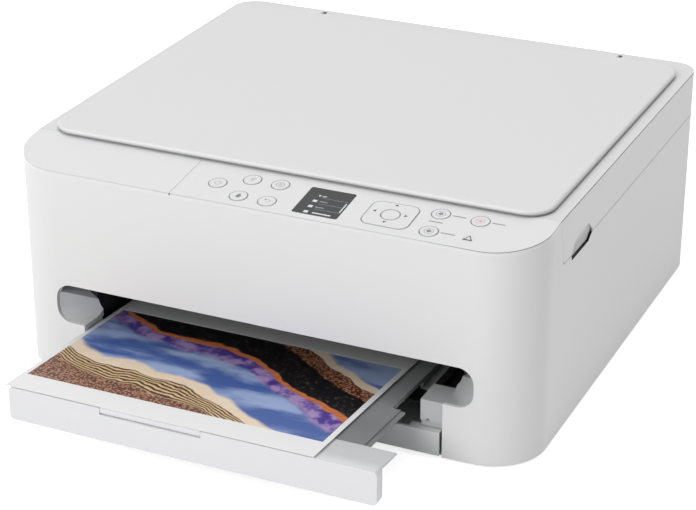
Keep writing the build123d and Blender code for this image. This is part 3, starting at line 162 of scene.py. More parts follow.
class Finish:
    """One material, with the few nodes that most finishes share."""

    def __init__(self, name):
        self.material = bpy.data.materials.new(name)
        self.material.use_nodes = True
        self.tree = self.material.node_tree
        self.shader = self.tree.nodes["Principled BSDF"]
        self.place = self.node("ShaderNodeTexCoord", {}, {}, "Object")

    def node(self, kind, settings, given, output=0):
        """Add any node to this material."""
        return make_node(self.tree, kind, settings, given, output)

    def noise(self, size, detail=2.0, roughness=0.5):
        """Cloudy noise whose features are about this many metres across."""
        given = {"Vector": self.place, "Scale": 1 / size, "Detail": detail, "Roughness": roughness}
        return self.node("ShaderNodeTexNoise", {}, given)

    def stretched_noise(self, scale, detail):
        """Cloudy noise with a scale of its own along each axis."""
        stretched = self.node("ShaderNodeMapping", {}, {"Vector": self.place, "Scale": scale})
        return self.node("ShaderNodeTexNoise", {}, {"Vector": stretched, "Scale": 1.0, "Detail": detail})

    def grains(self, size):
        """Small round grains, dark in their middles."""
        given = {"Vector": self.place, "Scale": 1 / size}
        return self.node("ShaderNodeTexVoronoi", {"feature": "F1"}, given)

    def axis(self, letter):
        """Place along X, Y or Z, in metres."""
        return self.node("ShaderNodeSeparateXYZ", {}, {"Vector": self.place}, letter)

    def ramp(self, value, low, high):
        """0 below low, 1 above high and a smooth step between them."""
        given = {"Value": value, "From Min": low, "From Max": high}
        return self.node("ShaderNodeMapRange", {"interpolation_type": "SMOOTHSTEP"}, given)

    def blend(self, share, first, second):
        """First colour where share is 0, second where it is 1."""
        return self.node("ShaderNodeMix", {"data_type": "RGBA"}, {0: share, 6: first, 7: second}, 2)

    def bump(self, height, depth):
        """Relief of this depth, in metres."""
        plug_in(self.tree, self.shader.inputs["Normal"],
                self.node("ShaderNodeBump", {}, {"Height": height, "Distance": depth, "Strength": 1.0}))

    def colour(self):
        """What feeds the colour so far."""
        return self.shader.inputs["Base Color"].links[0].from_socket

    def paint(self, share, shade):
        """Lay a shade over the colour so far where share is 1."""
        self.set(Base_Color=self.blend(share, self.colour(), shade))

    def set(self, **sockets):
        """Give the shader's sockets numbers, colours or links."""
        for name, given in sockets.items():
            plug_in(self.tree, self.shader.inputs[name.replace("_", " ")], given)


def plastic_skin(name, roughness, grain_size, grain_depth):
    """Moulded plastic before its colour: a fine spark-eroded grain, and a faint cloudiness in its gloss."""
    finish = Finish(name)
    cloud = finish.noise(60 * MM, 3.0)
    grain = finish.noise(grain_size, 3.0, 0.6)
    finish.set(Roughness=cloud * 0.06 + grain * 0.08 + (roughness - 0.07))
    finish.bump(grain, grain_depth)
    return finish, cloud, grain


def moulded_plastic(name, colour, roughness, grain_size, grain_depth, mottle=0.03):
    """Moulded plastic in one colour, faintly cloudy."""
    finish, cloud, grain = plastic_skin(name, roughness, grain_size, grain_depth)
    deeper = tuple(level * (1 - 2 * mottle) for level in colour[:3]) + (1,)
    finish.set(Base_Color=finish.blend(cloud * 0.6 + grain * 0.4, deeper, colour))
    return finish


def painted_fade_plastic(name, axis, start, end, first, last, roughness, grain_size, grain_depth):
    """Moulded plastic whose grey fades from one place along an axis to another, as painted light and shade."""
    finish, _, _ = plastic_skin(name, roughness, grain_size, grain_depth)
    finish.set(Base_Color=finish.blend(finish.ramp(finish.axis(axis), start, end), first, last))
    return finish


def brushed_metal(name, colour, roughness, along="X"):
    """Metal with fine lines along X or Y and a little tarnish."""
    finish = Finish(name)
    scale = {"X": (20, 2600, 2600), "Y": (2600, 20, 2600)}[along]
    lines = finish.stretched_noise(scale, 2.0)
    stain = finish.noise(30 * MM, 4.0)
    darker = tuple(level * 0.72 for level in colour[:3]) + (1,)
    finish.set(Base_Color=finish.blend(lines * 0.5 + stain * 0.5, darker, colour), Metallic=1.0)
    finish.set(Roughness=lines * 0.15 + stain * 0.1 + (roughness - 0.12))
    finish.bump(lines, 0.02 * MM)
    return finish


def rubber(name, colour):
    """Matt rubber with a dusty, slightly grainy skin."""
    finish = Finish(name)
    grain = finish.noise(0.5 * MM, 4.0, 0.7)
    dust = finish.noise(8 * MM, 3.0)
    paler = tuple(min(1, level * 1.6 + 0.01) for level in colour[:3]) + (1,)
    finish.set(Base_Color=finish.blend(dust * grain, colour, paler), Roughness=grain * 0.15 + 0.72)
    finish.bump(grain, 0.05 * MM)
    return finish


def shade_edge_groove(finish, height, low, high, shade):
    """Painted shade: darken the fine groove between two heights into a grey line."""
    finish.paint((height > low) * (height < high), shade)


def shade_finger_grip(finish, outer):
    """Painted shade: nearly black inside the finger grip of the right side, from this far across inwards."""
    x, y, z = finish.axis("X"), finish.axis("Y"), finish.axis("Z")
    deep = (x > case_high.x - grip_depth) * (x < outer)
    beside = (y > grip_front) * (y < grip_rear)
    level = (z > grip_bottom) * (z < grip_top)
    finish.paint(deep * beside * level, linear(16, 16, 17))


def shade_side_seam(finish):
    """Painted shade: a soft shadow in the finger dip of the right side, and grey along the scanner unit's
    lowest part at the right side's seam.
    """
    x, y, above = finish.axis("X"), finish.axis("Y"), finish.axis("Z") - split_height
    sunk = finish.ramp(x, case_high.x - 0.3 * MM, case_high.x - 1.2 * MM) * (x > case_high.x - 6 * MM)
    beside = finish.ramp(y, grip_front - 4.5 * MM, grip_front + 3.5 * MM) * (y < grip_rear)
    level = finish.ramp(above, 11 * MM, 1 * MM)
    finish.paint(sunk * beside * level, linear(180, 180, 182))
    finish.paint((x > case_high.x - 0.5 * MM) * (above < 0.5 * MM), linear(140, 140, 142))


def outer_edge(finish, low, high, corner, depth):
    """1 within a depth of the upright sides of a box with rounded corners, 0 further in."""
    middle = (low + high) / 2
    half = (high - low) / 2
    out_x = (abs(finish.axis("X") - middle.x) - (half.x - corner)).highest(0)
    out_y = (abs(finish.axis("Y") - middle.y) - (half.y - corner)).highest(0)
    return (out_x ** 2 + out_y ** 2) ** 0.5 > corner - depth


def shade_lid_edge(finish):
    """Painted shade on the lid's edge: a little darker than its top, and its lowest part painted dark as its
    own shadow.
    """
    down = lid_high.z - finish.axis("Z")
    plain = finish.colour()
    side = finish.blend(finish.ramp(down, 0.3 * MM, 2.5 * MM), plain, linear(194, 194, 195))
    side = finish.blend(down > 2.4 * MM, side, linear(134, 134, 136))
    finish.paint(outer_edge(finish, lid_low, lid_high, lid_corner, 1.6 * MM), side)


white_shell = moulded_plastic("white_shell", linear(229, 229, 229), 0.42, 0.45 * MM, 0.006 * MM, 0.008)
# Painted shade: nearly black in the finger grip's gap
shade_finger_grip(white_shell, case_high.x - 0.06 * MM)

unit_shell = moulded_plastic("unit_shell", linear(229, 229, 229), 0.42, 0.45 * MM, 0.006 * MM, 0.008)
# Painted shade: a dark line in the groove just under the rim
shade_edge_groove(unit_shell, unit_shell.axis("Z"), rim_height - 0.92 * MM, rim_height - 0.24 * MM,
                  linear(24, 24, 26))
# Painted shade: soft shadow in the finger dip, a grey seam line, and near-black inside the grip
shade_side_seam(unit_shell)
shade_finger_grip(unit_shell, case_high.x - 1.36 * MM)

# Painted shade in the strip's groove: a fainter line on the left and the front than at the right corner
white_strip = moulded_plastic("white_strip", linear(232, 232, 233), 0.3, 0.5 * MM, 0.003 * MM, 0.006)
strip_above = white_strip.axis("Z") - (white_strip.axis("Y") - front_y) * tan(strip_angle) - strip_front_height
strip_shade = white_strip.blend(white_strip.ramp(white_strip.axis("X"), 100 * MM, 165 * MM),
                                linear(208, 208, 209), linear(124, 124, 126))
shade_edge_groove(white_strip, strip_above, -0.74 * MM, -0.33 * MM, strip_shade)

lid_shell = moulded_plastic("lid_shell", linear(230, 230, 230), 0.38, 0.5 * MM, 0.005 * MM, 0.008)
# Painted shade along the lid's edge
shade_lid_edge(lid_shell)

# Painted shade: the lip's top darkens towards the tray's floor
lip_shell = moulded_plastic("lip_shell", linear(228, 228, 230), 0.4, 0.45 * MM, 0.005 * MM, 0.008)
lip_depth = lip_shell.axis("Y") - lip_front
lip_shell.paint(lip_shell.ramp(lip_depth, 2 * MM, 13 * MM), linear(205, 206, 208))

# Painted light and shade in the slot: lighter grey on the left, darker on the right
slot_grey = painted_fade_plastic("slot_grey", "X", -80 * MM, 80 * MM, linear(218, 219, 220), linear(188, 189, 190),
                          0.5, 0.5 * MM, 0.01 * MM)
# Painted light and shade on the tray's floor: darker at its front, lighter towards its rear
tray_grey = painted_fade_plastic("tray_grey", "Y", front_y - 45 * MM, front_y - 8 * MM, linear(126, 128, 129),
                          linear(150, 152, 153), 0.55, 0.6 * MM, 0.02 * MM)
cassette_grey = moulded_plastic("cassette_grey", linear(214, 215, 216), 0.5, 0.5 * MM, 0.01 * MM, 0.02)
guide_grey = moulded_plastic("guide_grey", linear(96, 98, 100), 0.5, 0.6 * MM, 0.02 * MM, 0.04)
inner_black = moulded_plastic("inner_black", linear(30, 30, 31), 0.55, 0.6 * MM, 0.02 * MM, 0.08)
deck_grey = moulded_plastic("deck_grey", linear(72, 73, 75), 0.55, 0.6 * MM, 0.02 * MM, 0.05)
rear_grey = moulded_plastic("rear_grey", linear(214, 214, 214), 0.5, 0.5 * MM, 0.012 * MM, 0.015)
base_grey = moulded_plastic("base_grey", linear(118, 119, 121), 0.6, 0.7 * MM, 0.03 * MM, 0.05)
key_white = moulded_plastic("key_white", linear(231, 231, 232), 0.33, 0.4 * MM, 0.003 * MM, 0.006)
gear_white = moulded_plastic("gear_white", linear(222, 218, 200), 0.4, 0.8 * MM, 0.004 * MM, 0.03)
supply_black = moulded_plastic("supply_black", linear(44, 44, 46), 0.5, 0.5 * MM, 0.02 * MM, 0.06)
zinc_sheet = brushed_metal("zinc_sheet", linear(178, 180, 184), 0.38)
rail_steel = brushed_metal("rail_steel", linear(186, 186, 188), 0.2, "Y")
motor_steel = brushed_metal("motor_steel", linear(168, 168, 170), 0.32)
roller_rubber = rubber("roller_rubber", linear(46, 46, 48))
belt_rubber = rubber("belt_rubber", linear(32, 32, 33))
foot_rubber = rubber("foot_rubber", linear(70, 70, 72))


def circuit_board():
    """Green solder mask with copper tracks under it and rows of tinned pads; the rear sockets are dark grey."""
    finish = Finish("circuit_board")
    tracks = finish.node("ShaderNodeTexVoronoi", {"feature": "DISTANCE_TO_EDGE"},
                         {"Vector": finish.place, "Scale": 1 / (4 * MM)})
    track_line = tracks < 0.06
    row = abs((finish.axis("X") / (5.08 * MM)).fraction() - 0.5) < 0.16
    column = abs((finish.axis("Z") / (7.62 * MM)).fraction() - 0.5) < 0.1
    pads = row * column
    mask = finish.blend(track_line, linear(18, 84, 48), linear(40, 118, 66))
    board = finish.blend(pads, mask, linear(196, 196, 190))
    sockets = finish.axis("Y") > front_y + 344.3 * MM
    finish.set(Base_Color=finish.blend(sockets, board, linear(62, 63, 66)))
    finish.set(Metallic=pads * 0.8, Roughness=0.42 - pads * 0.15)
    finish.bump(track_line * 0.4 + pads, 0.03 * MM)
    return finish


def screen_glass():
    """Dark display under a clear cover."""
    finish = Finish("screen_glass")
    cloud = finish.noise(20 * MM)
    finish.set(Base_Color=finish.blend(cloud, linear(30, 31, 33), linear(37, 38, 40)))
    finish.set(Roughness=cloud * 0.04 + 0.24)
    finish.bump(finish.noise(6 * MM), 0.003 * MM)
    return finish


def platen_glass():
    """Clear flat glass with a faint green cast and a few soft smears."""
    finish = Finish("platen_glass")
    smear = finish.noise(50 * MM, 4.0, 0.6)
    finish.set(Base_Color=finish.blend(smear, linear(214, 228, 224), linear(226, 236, 233)))
    finish.set(Roughness=smear * 0.05 + 0.02, Transmission_Weight=0.85, IOR=1.5)
    finish.bump(smear, 0.002 * MM)
    return finish


def foam_sheet():
    """White pressing pad: foam under a thin fleecy film."""
    finish = Finish("foam_sheet")
    cells = finish.grains(0.9 * MM)
    cloud = finish.noise(30 * MM)
    finish.set(Base_Color=finish.blend(cells * cloud, linear(236, 236, 233), linear(226, 226, 222)))
    finish.set(Roughness=cells * 0.1 + 0.82)
    finish.bump(cells, 0.08 * MM)
    return finish


def lamp_lens():
    """White lens of the alarm lamp, unlit."""
    finish = Finish("lamp_lens")
    cloud = finish.noise(1.5 * MM)
    finish.set(Base_Color=finish.blend(cloud, linear(226, 226, 226), linear(233, 233, 233)))
    finish.set(Roughness=cloud * 0.06 + 0.26)
    finish.bump(cloud, 0.01 * MM)
    return finish


def ink(name, colour, roughness=0.4):
    """Printed ink, also used for painted shade: nearly even, with the grain of a screen print."""
    finish = Finish(name)
    grain = finish.noise(0.25 * MM, 3.0)
    paler = tuple(min(1, level * 1.12 + 0.004) for level in colour[:3]) + (1,)
    finish.set(Base_Color=finish.blend(grain, colour, paler), Roughness=grain * 0.1 + (roughness - 0.05))
    return finish


def printed_paper():
    """Photo paper with an abstract print: slanting, flowing ribbons of colour inside a white border.

    Lengths in the print are millimetres from the sheet's front left corner.
    """
    finish = Finish("printed_paper")
    x = (finish.axis("X") - sheet_low.x) / MM
    y = (finish.axis("Y") - sheet_low.y) / MM
    width = (sheet_high.x - sheet_low.x) / MM
    drift = finish.noise(50 * MM, 3.0)
    ripple = finish.noise(12 * MM, 4.0, 0.6)
    fine = finish.noise(3 * MM, 3.0, 0.6)
    flow = y + x * 0.42 + (x / 31 + 0.6).wave() * 11 + (drift - 0.5) * 30

    cloud = finish.stretched_noise((20, 55, 60), 4.0)
    blue = finish.blend(finish.ramp(cloud, 0.38, 0.64), linear(72, 100, 168), linear(164, 184, 224))
    cream = finish.blend(ripple, linear(246, 236, 220), linear(236, 204, 166))
    purple = finish.blend(finish.ramp(ripple, 0.4, 0.6), linear(78, 60, 150), linear(176, 148, 200))
    orange = finish.blend(fine, linear(190, 84, 40), linear(226, 150, 92))
    black = finish.blend(finish.ramp(fine, 0.56, 0.7), linear(20, 19, 22), linear(96, 84, 74))
    strokes = ((flow * 2.0 + (ripple - 0.5) * 8).wave() + 1) * 0.5
    golden = finish.blend(finish.ramp(strokes, 0.35, 0.65), linear(58, 34, 24), linear(222, 190, 142))
    speckles = finish.ramp(finish.grains(1.7 * MM), 0.3, 0.6)
    brown = finish.blend(speckles, linear(190, 138, 106), linear(82, 42, 28))

    # Where each ribbon begins, how soft its edge is, and its colour
    ribbons = [
        (66, 2, golden),
        (84, 1, cream),
        (94, 5, blue),
        (132, 6, purple),
        (147, 2, orange),
        (152, 2, black),
        (180, 2, brown),
        (196, 1, cream),
        (203, 5, blue),
    ]
    print_colour = brown
    for start, softness, shade in ribbons:
        print_colour = finish.blend(finish.ramp(flow, start, start + softness), print_colour, shade)

    left, right, front, rear = 3.4, width - 3.8, 21, 143
    inside_border = (x > left) * (x < right) * (y > front) * (y < rear)
    paper = finish.blend(y > rear + 2, linear(241, 241, 241), linear(226, 227, 228))
    finish.set(Base_Color=finish.blend(inside_border, paper, print_colour), Roughness=0.36 + ripple * 0.08)
    finish.bump(finish.noise(1.2 * MM, 3.0), 0.004 * MM)
    return finish


def tank_plastic(name, colour):
    """Ink tank: glossy moulded plastic."""
    return moulded_plastic(name, colour, 0.3, 0.8 * MM, 0.004 * MM, 0.05)


finishes = {
    "outer_case": white_shell,
    "scanner_housing": unit_shell,
    "document_lid": lid_shell,
    "tray_lip": lip_shell,
    "paper_stop": lip_shell,
    "strip_cover": white_strip,
    "operation_panel": white_strip,
    "rear_panel": rear_grey,
    "bottom_plate": base_grey,
    "rubber_feet": foot_rubber,
    "panel_board": circuit_board(),
    "main_board": circuit_board(),
    "display_screen": screen_glass(),
    "alarm_lamp": lamp_lens(),
    "slot_liner": slot_grey,
    "cassette": cassette_grey,
    "tray_floor": tray_grey,
    "exit_chute": inner_black,
    "platen": inner_black,
    "carriage": inner_black,
    "pickup_arm": inner_black,
    "scan_head": inner_black,
    "power_inlet": inner_black,
    "inner_deck": deck_grey,
    "maintenance_station": guide_grey,
    "left_paper_guide": guide_grey,
    "right_paper_guide": guide_grey,
    "rear_paper_guide": guide_grey,
    "chassis": zinc_sheet,
    "carriage_rail": rail_steel,
    "scan_rail": rail_steel,
    "motor_pinion": rail_steel,
    "feed_motor": motor_steel,
    "carriage_motor": motor_steel,
    "feed_roller": roller_rubber,
    "exit_roller": roller_rubber,
    "pickup_roller": roller_rubber,
    "carriage_belt": belt_rubber,
    "idler_gear": gear_white,
    "drive_pulley": gear_white,
    "idler_pulley": gear_white,
    "guide_pinion": gear_white,
    "power_supply": supply_black,
    "platen_glass": platen_glass(),
    "lid_pad": foam_sheet(),
    "printed_sheet": printed_paper(),
    "pigment_black_tank": tank_plastic("black_tank", linear(38, 38, 40)),
    "colour_tanks": tank_plastic("colour_tank", linear(70, 70, 74)),
}
for node_name, node_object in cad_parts.items():
    finish = finishes.get(node_name, key_white)
    node_object.data.materials.clear()
    node_object.data.materials.append(finish.material)


# Mesh helpers

def leave_all():
    """Deselect everything, in object mode."""
    if bpy.context.object and bpy.context.object.mode != "OBJECT":
        bpy.ops.object.mode_set(mode="OBJECT")
    bpy.ops.object.select_all(action="DESELECT")


def flat_ring(outer, inner, centre, sides=48):
    """Flat ring: a circle whose edge is extruded and drawn in."""
    leave_all()
    bpy.ops.mesh.primitive_circle_add(vertices=sides, radius=outer, fill_type="NOTHING", location=(*centre, 0))
    bpy.ops.object.mode_set(mode="EDIT")
    bpy.ops.mesh.select_all(action="SELECT")
    bpy.ops.mesh.extrude_edges_move()
    share = inner / outer
    bpy.ops.transform.resize(value=(share, share, 1))
    bpy.ops.object.mode_set(mode="OBJECT")
    return bpy.context.object


def flat_arc(outer, inner, centre, start, end):
    """Part of a flat ring between two angles in degrees; the rest of the ring is deleted."""
    arc = flat_ring(outer, inner, centre)
    bpy.ops.object.mode_set(mode="EDIT")
    bpy.ops.mesh.select_all(action="DESELECT")
    bpy.ops.object.mode_set(mode="OBJECT")
    for face in arc.data.polygons:
        angle = atan2(face.center.y, face.center.x) * 180 / pi % 360
        face.select = not start <= angle <= end
    bpy.ops.object.mode_set(mode="EDIT")
    bpy.context.tool_settings.mesh_select_mode = (False, False, True)
    bpy.ops.mesh.delete(type="FACE")
    bpy.ops.object.mode_set(mode="OBJECT")
    return arc


def flat_bar(length, width, centre, turn=0.0):
    """Flat bar, turned by an angle in degrees."""
    leave_all()
    bpy.ops.mesh.primitive_plane_add(size=1, location=(*centre, 0), rotation=(0, 0, radians(turn)))
    bar = bpy.context.object
    bar.scale = (length, width, 1)
    return bar


def flat_polygon(radius, sides, centre, turn=0.0):
    """Flat regular polygon: a triangle, a diamond or, with many sides, a disc."""
    leave_all()
    bpy.ops.mesh.primitive_circle_add(vertices=sides, radius=radius, fill_type="NGON",
                                      location=(*centre, 0), rotation=(0, 0, radians(turn)))
    return bpy.context.object


def flat_disc(radius, centre, sides=48):
    """Flat disc."""
    return flat_polygon(radius, sides, centre)


def settle(piece):
    """Put a piece's place, turn and scale into its mesh."""
    leave_all()
    piece.select_set(True)
    bpy.context.view_layer.objects.active = piece
    bpy.ops.object.transform_apply(location=True, rotation=True, scale=True)


def join(pieces, name):
    """Join pieces into one, with its place in its mesh."""
    for piece in pieces:
        settle(piece)
    leave_all()
    for piece in pieces:
        piece.select_set(True)
    bpy.context.view_layer.objects.active = pieces[0]
    if len(pieces) > 1:
        bpy.ops.object.join()
    joined = bpy.context.object
    joined.name = name
    return joined


def print_or_shade_on(pieces, name, place, material, body):
    """Lay flat shapes on a surface as a thin layer of ink or painted shade; place turns them from the flat to
    there.
    """
    layer = join(pieces, name)
    layer.data.transform(place)
    bpy.ops.object.mode_set(mode="EDIT")
    bpy.ops.mesh.select_all(action="SELECT")
    bpy.ops.mesh.normals_make_consistent(inside=False)
    bpy.ops.object.mode_set(mode="OBJECT")
    up = place.to_3x3() @ Vector((0, 0, 1))
    if sum(face.normal.dot(up) for face in layer.data.polygons) < 0:
        layer.data.flip_normals()
    layer.data.materials.clear()
    layer.data.materials.append(material.material)
    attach(layer, body)


# Symbols on the keys, each drawn about its key's centre

glyph_ink = ink("key_symbol_grey", linear(134, 135, 138))
# Dark ink for printed marks, also painted shade at seam ends and in screw recesses
dark_ink_and_shade = ink("mark_and_shade_dark_grey", linear(64, 64, 68))
# Painted shade for the gaps round the keys
gap_shade_ink = ink("key_gap_shade_grey", linear(128, 128, 131))
stop_ink = ink("stop_symbol_red", linear(222, 140, 146))
light_ink = ink("screen_white", linear(222, 224, 226), 0.3)
dim_ink = ink("screen_grey", linear(132, 134, 138), 0.3)
label_ink = ink("label_grey", linear(158, 158, 162))
stroke = 0.32 * MM


def thin_arc(radius, centre, start, end):
    return flat_arc(radius, radius - stroke, centre, start, end)


def thin_ring(radius):
    return flat_ring(radius, radius - stroke, (0, 0))


def power_symbol():
    radius = 2.3 * MM
    return [thin_arc(radius, (0, 0), 0, 55), thin_arc(radius, (0, 0), 125, 360),
            flat_bar(stroke, 2.4 * MM, (0, 1.6 * MM))]


def wireless_symbol():
    foot = (0, -1.5 * MM)
    waves = [thin_arc(radius * MM, foot, 50, 130) for radius in (1.4, 2.4, 3.4)]
    return waves + [flat_disc(0.45 * MM, foot, 16)]


def lines_symbol():
    lines = [flat_bar(2.4 * MM, stroke, (0, shift * MM)) for shift in (-1.2, 0, 1.2)]
    return lines + [thin_ring(2.9 * MM)]


def house_symbol():
    return [flat_polygon(2.3 * MM, 3, (0, 0.7 * MM)), flat_bar(2.5 * MM, 2.0 * MM, (0, -1.1 * MM))]


def arrow_symbol():
    radius, bend = 1.7 * MM, (0.5 * MM, 0)
    level = 1.54 * MM
    return [thin_arc(radius, bend, 0, 90), thin_arc(radius, bend, 270, 360),
            flat_bar(2.0 * MM, stroke, (-0.4 * MM, level)), flat_bar(1.6 * MM, stroke, (-0.2 * MM, -level)),
            flat_polygon(1.0 * MM, 3, (-1.7 * MM, level), 90)]


def diamond_symbol():
    return [flat_polygon(1.9 * MM, 4, (0, 0)), thin_ring(3.1 * MM)]


def stop_symbol():
    return [flat_polygon(1.5 * MM, 3, (0, 0)), thin_ring(2.9 * MM)]


symbols = {
    "power": (power_symbol, glyph_ink),
    "wireless": (wireless_symbol, glyph_ink),
    "info": (lines_symbol, glyph_ink),
    "home": (house_symbol, glyph_ink),
    "back": (arrow_symbol, glyph_ink),
    "black_start": (diamond_symbol, glyph_ink),
    "colour_start": (diamond_symbol, glyph_ink),
    "stop": (stop_symbol, stop_ink),
}
for key, (draw, colour) in symbols.items():
    across, up = key_places[key]
    on_key = strip_frame @ Matrix.Translation((across, up, key_proud + ink_lift))
    print_or_shade_on(draw(), key + "_symbol", on_key, colour, key + "_key")

# Arrows on the direction pad, and painted shade in the gap round its centre key: across, up and turn of each
# arrow
on_pad = strip_frame @ Matrix.Translation((*pad_centre, key_proud + ink_lift))
arrow_places = [(-0.4 * MM, 11.6 * MM, 0), (-0.4 * MM, -8.9 * MM, 180),
                (-11.2 * MM, 1.6 * MM, 90), (9.6 * MM, 1.6 * MM, 270)]
pad_arrows = [flat_polygon(1.5 * MM, 3, (across, up), turn) for across, up, turn in arrow_places]
print_or_shade_on(pad_arrows, "pad_arrows", on_pad, dark_ink_and_shade, "direction_pad")
ok_ring = [flat_ring(6.55 * MM, 6.1 * MM, (0, 0), 64)]
print_or_shade_on(ok_ring, "ok_gap_shade", on_pad, gap_shade_ink, "direction_pad")


def frame_line(width, depth, corner, thickness):
    """Outline of a rounded rectangle about the origin: four bars and four corner arcs."""
    across = width / 2 - corner
    up = depth / 2 - corner
    shapes = []
    for side in (-1, 1):
        shapes.append(flat_bar(2 * across, thickness, (0, side * (depth / 2 - thickness / 2))))
        shapes.append(flat_bar(thickness, 2 * up, (side * (width / 2 - thickness / 2), 0)))
    corners = [(across, up, 0), (-across, up, 90), (-across, -up, 180), (across, -up, 270)]
    for corner_x, corner_y, start in corners:
        shapes.append(flat_arc(corner, corner - thickness, (corner_x, corner_y), start, start + 90))
    return shapes


# Painted shade in the gaps round the keys and the direction pad: grey lines laid on the strip
key_radius, key_line = 6.35 * MM, 0.4 * MM
key_rings = [flat_ring(key_radius, key_radius - key_line, place) for place in key_places.values()]
pad_outline = frame_line(32.5 * MM, 29.0 * MM, 6.6 * MM, 0.42 * MM)
for shape in pad_outline:
    shape.location.x += pad_centre[0]
    shape.location.y += pad_centre[1]
on_strip = strip_frame @ Matrix.Translation((0, 0, ink_lift))
print_or_shade_on(key_rings + pad_outline, "key_gap_shades", on_strip, gap_shade_ink, "base")


def display_picture():
    """Bright parts of a plain menu: a mark at its top, three square icons, one long bar and a scroll bar."""
    shapes = [flat_polygon(1.3 * MM, 3, (-6.0 * MM, 7.2 * MM), 180),
              flat_bar(2.6 * MM, 1.0 * MM, (-2.8 * MM, 7.0 * MM), 20)]
    for row in (0.4 * MM, -6.4 * MM, -13.2 * MM):
        shapes.append(flat_bar(3.0 * MM, 2.6 * MM, (-6.6 * MM, row)))
    shapes.append(flat_bar(12.5 * MM, 1.3 * MM, (4.0 * MM, -13.4 * MM)))
    shapes.append(flat_bar(0.9 * MM, 11.5 * MM, (14.0 * MM, -2.4 * MM)))
    return shapes


def display_lines():
    """Thin lines between the rows, and the dimmer bars beside the first two icons."""
    shapes = [flat_bar(17.0 * MM, 0.45 * MM, (5.6 * MM, row * MM)) for row in (5.0, -2.2, -8.8)]
    shapes.append(flat_bar(5.6 * MM, 1.3 * MM, (-0.8 * MM, 0.6 * MM)))
    shapes.append(flat_bar(6.2 * MM, 1.3 * MM, (-0.5 * MM, -6.4 * MM)))
    return shapes


on_screen = strip_frame @ Matrix.Translation((*screen_centre, ink_lift))
print_or_shade_on(display_picture(), "display_picture", on_screen, light_ink, "base")
print_or_shade_on(display_lines(), "display_lines", on_screen, dim_ink, "base")

# Plain bars beside the keys: across, up and length of each
label_places = [(125.2 * MM, 33.0 * MM, 9 * MM), (151.2 * MM, 32.8 * MM, 8.5 * MM),
                (126 * MM, 11.9 * MM, 9.5 * MM), (113.7 * MM, 22.6 * MM, 9 * MM)]
labels = [flat_bar(length, 1.2 * MM, (across, up)) for across, up, length in label_places]
print_or_shade_on(labels, "key_labels", on_strip, label_ink, "base")
lamp_mark = [flat_ring(3.9 * MM, 2.3 * MM, (139.6 * MM, 10.8 * MM), 3)]
print_or_shade_on(lamp_mark, "lamp_mark", on_strip, dark_ink_and_shade, "base")

# Painted shade: small dark points where the seams end, at the front of the strip's split and at the foot of the
# right seam
on_front = Matrix.Translation((0, front_y - ink_lift, 0)) @ Matrix.Rotation(pi / 2, 4, "X")
split_point_shade = [flat_disc(0.6 * MM, (-60.5 * MM, 150.0 * MM), 20)]
print_or_shade_on(split_point_shade, "split_point_shade", on_front, dark_ink_and_shade, "base")
on_right = Matrix(((0, 0, 1, case_high.x + ink_lift), (1, 0, 0, 0), (0, 1, 0, 0), (0, 0, 0, 1)))
seam_point_shade = [flat_disc(0.7 * MM, (front_y + 56.4 * MM, 125.4 * MM), 20)]
print_or_shade_on(seam_point_shade, "seam_point_shade", on_right, dark_ink_and_shade, "base")


# Ink colours on the tanks: a round patch in a white rim on top of each

black_low, black_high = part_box("pigment_black_tank")
trio_low, trio_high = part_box("colour_tanks")
third = (trio_high.x - trio_low.x) / 3
cyan_x, magenta_x, yellow_x = [trio_low.x + third * (share + 0.5) - 0.4 * MM for share in range(3)]
tank_inks = [
    ("black_patch", (black_low.x + black_high.x) / 2, linear(18, 18, 20), "tank_black"),
    ("cyan_patch", cyan_x, linear(30, 150, 196), "tank_colour"),
    ("magenta_patch", magenta_x, linear(190, 48, 116), "tank_colour"),
    ("yellow_patch", yellow_x, linear(232, 200, 56), "tank_colour"),
]
patch_y = black_low.y + 16 * MM
tank_top = black_high.z - 3 * MM
rim_ink = ink("tank_frame_white", linear(214, 214, 214))
for name, across, colour, tank_slot in tank_inks:
    over_tank = Matrix.Translation((across, patch_y, tank_top + ink_lift))
    rim = [flat_ring(4.6 * MM, 3.9 * MM, (0, 0))]
    print_or_shade_on(rim, name + "_rim", over_tank, rim_ink, "carriage_unit")
    print_or_shade_on([flat_disc(3.3 * MM, (0, 0))], name, over_tank, ink(name, colour), "carriage_unit")


# Screws in the inner deck and the rear panel

screw_zinc = brushed_metal("screw_zinc", linear(168, 170, 174), 0.34)


def screw_head(name, place, radius):
    """Pan-head screw: a disc extruded in four narrowing steps, with its cross recess painted dark on its top as
    painted shade.
    """
    leave_all()
    bpy.ops.mesh.primitive_circle_add(vertices=32, radius=radius, fill_type="NGON")
    head = bpy.context.object
    bpy.ops.object.mode_set(mode="EDIT")
    bpy.ops.mesh.select_all(action="SELECT")
    for rise, share in ((0.26, 1.0), (0.12, 0.93), (0.08, 0.8), (0.05, 0.55)):
        bpy.ops.mesh.extrude_region_move(TRANSFORM_OT_translate={"value": (0, 0, rise * radius)})
        bpy.ops.transform.resize(value=(share, share, 1))
    bpy.ops.mesh.select_all(action="SELECT")
    bpy.ops.mesh.normals_make_consistent(inside=False)
    bpy.ops.object.mode_set(mode="OBJECT")
    head.name = name
    head.data.transform(place)
    head.data.materials.append(screw_zinc.material)
    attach(head, "base")
    # Painted shade in the cross recess
    top = place @ Matrix.Translation((0, 0, 0.51 * radius + 0.02 * MM))
    long, wide = 0.62 * radius, 0.18 * radius
    cross = [flat_bar(long, wide, (0, 0)), flat_bar(wide, long, (0, 0))]
    print_or_shade_on(cross, name + "_recess", top, dark_ink_and_shade, "base")


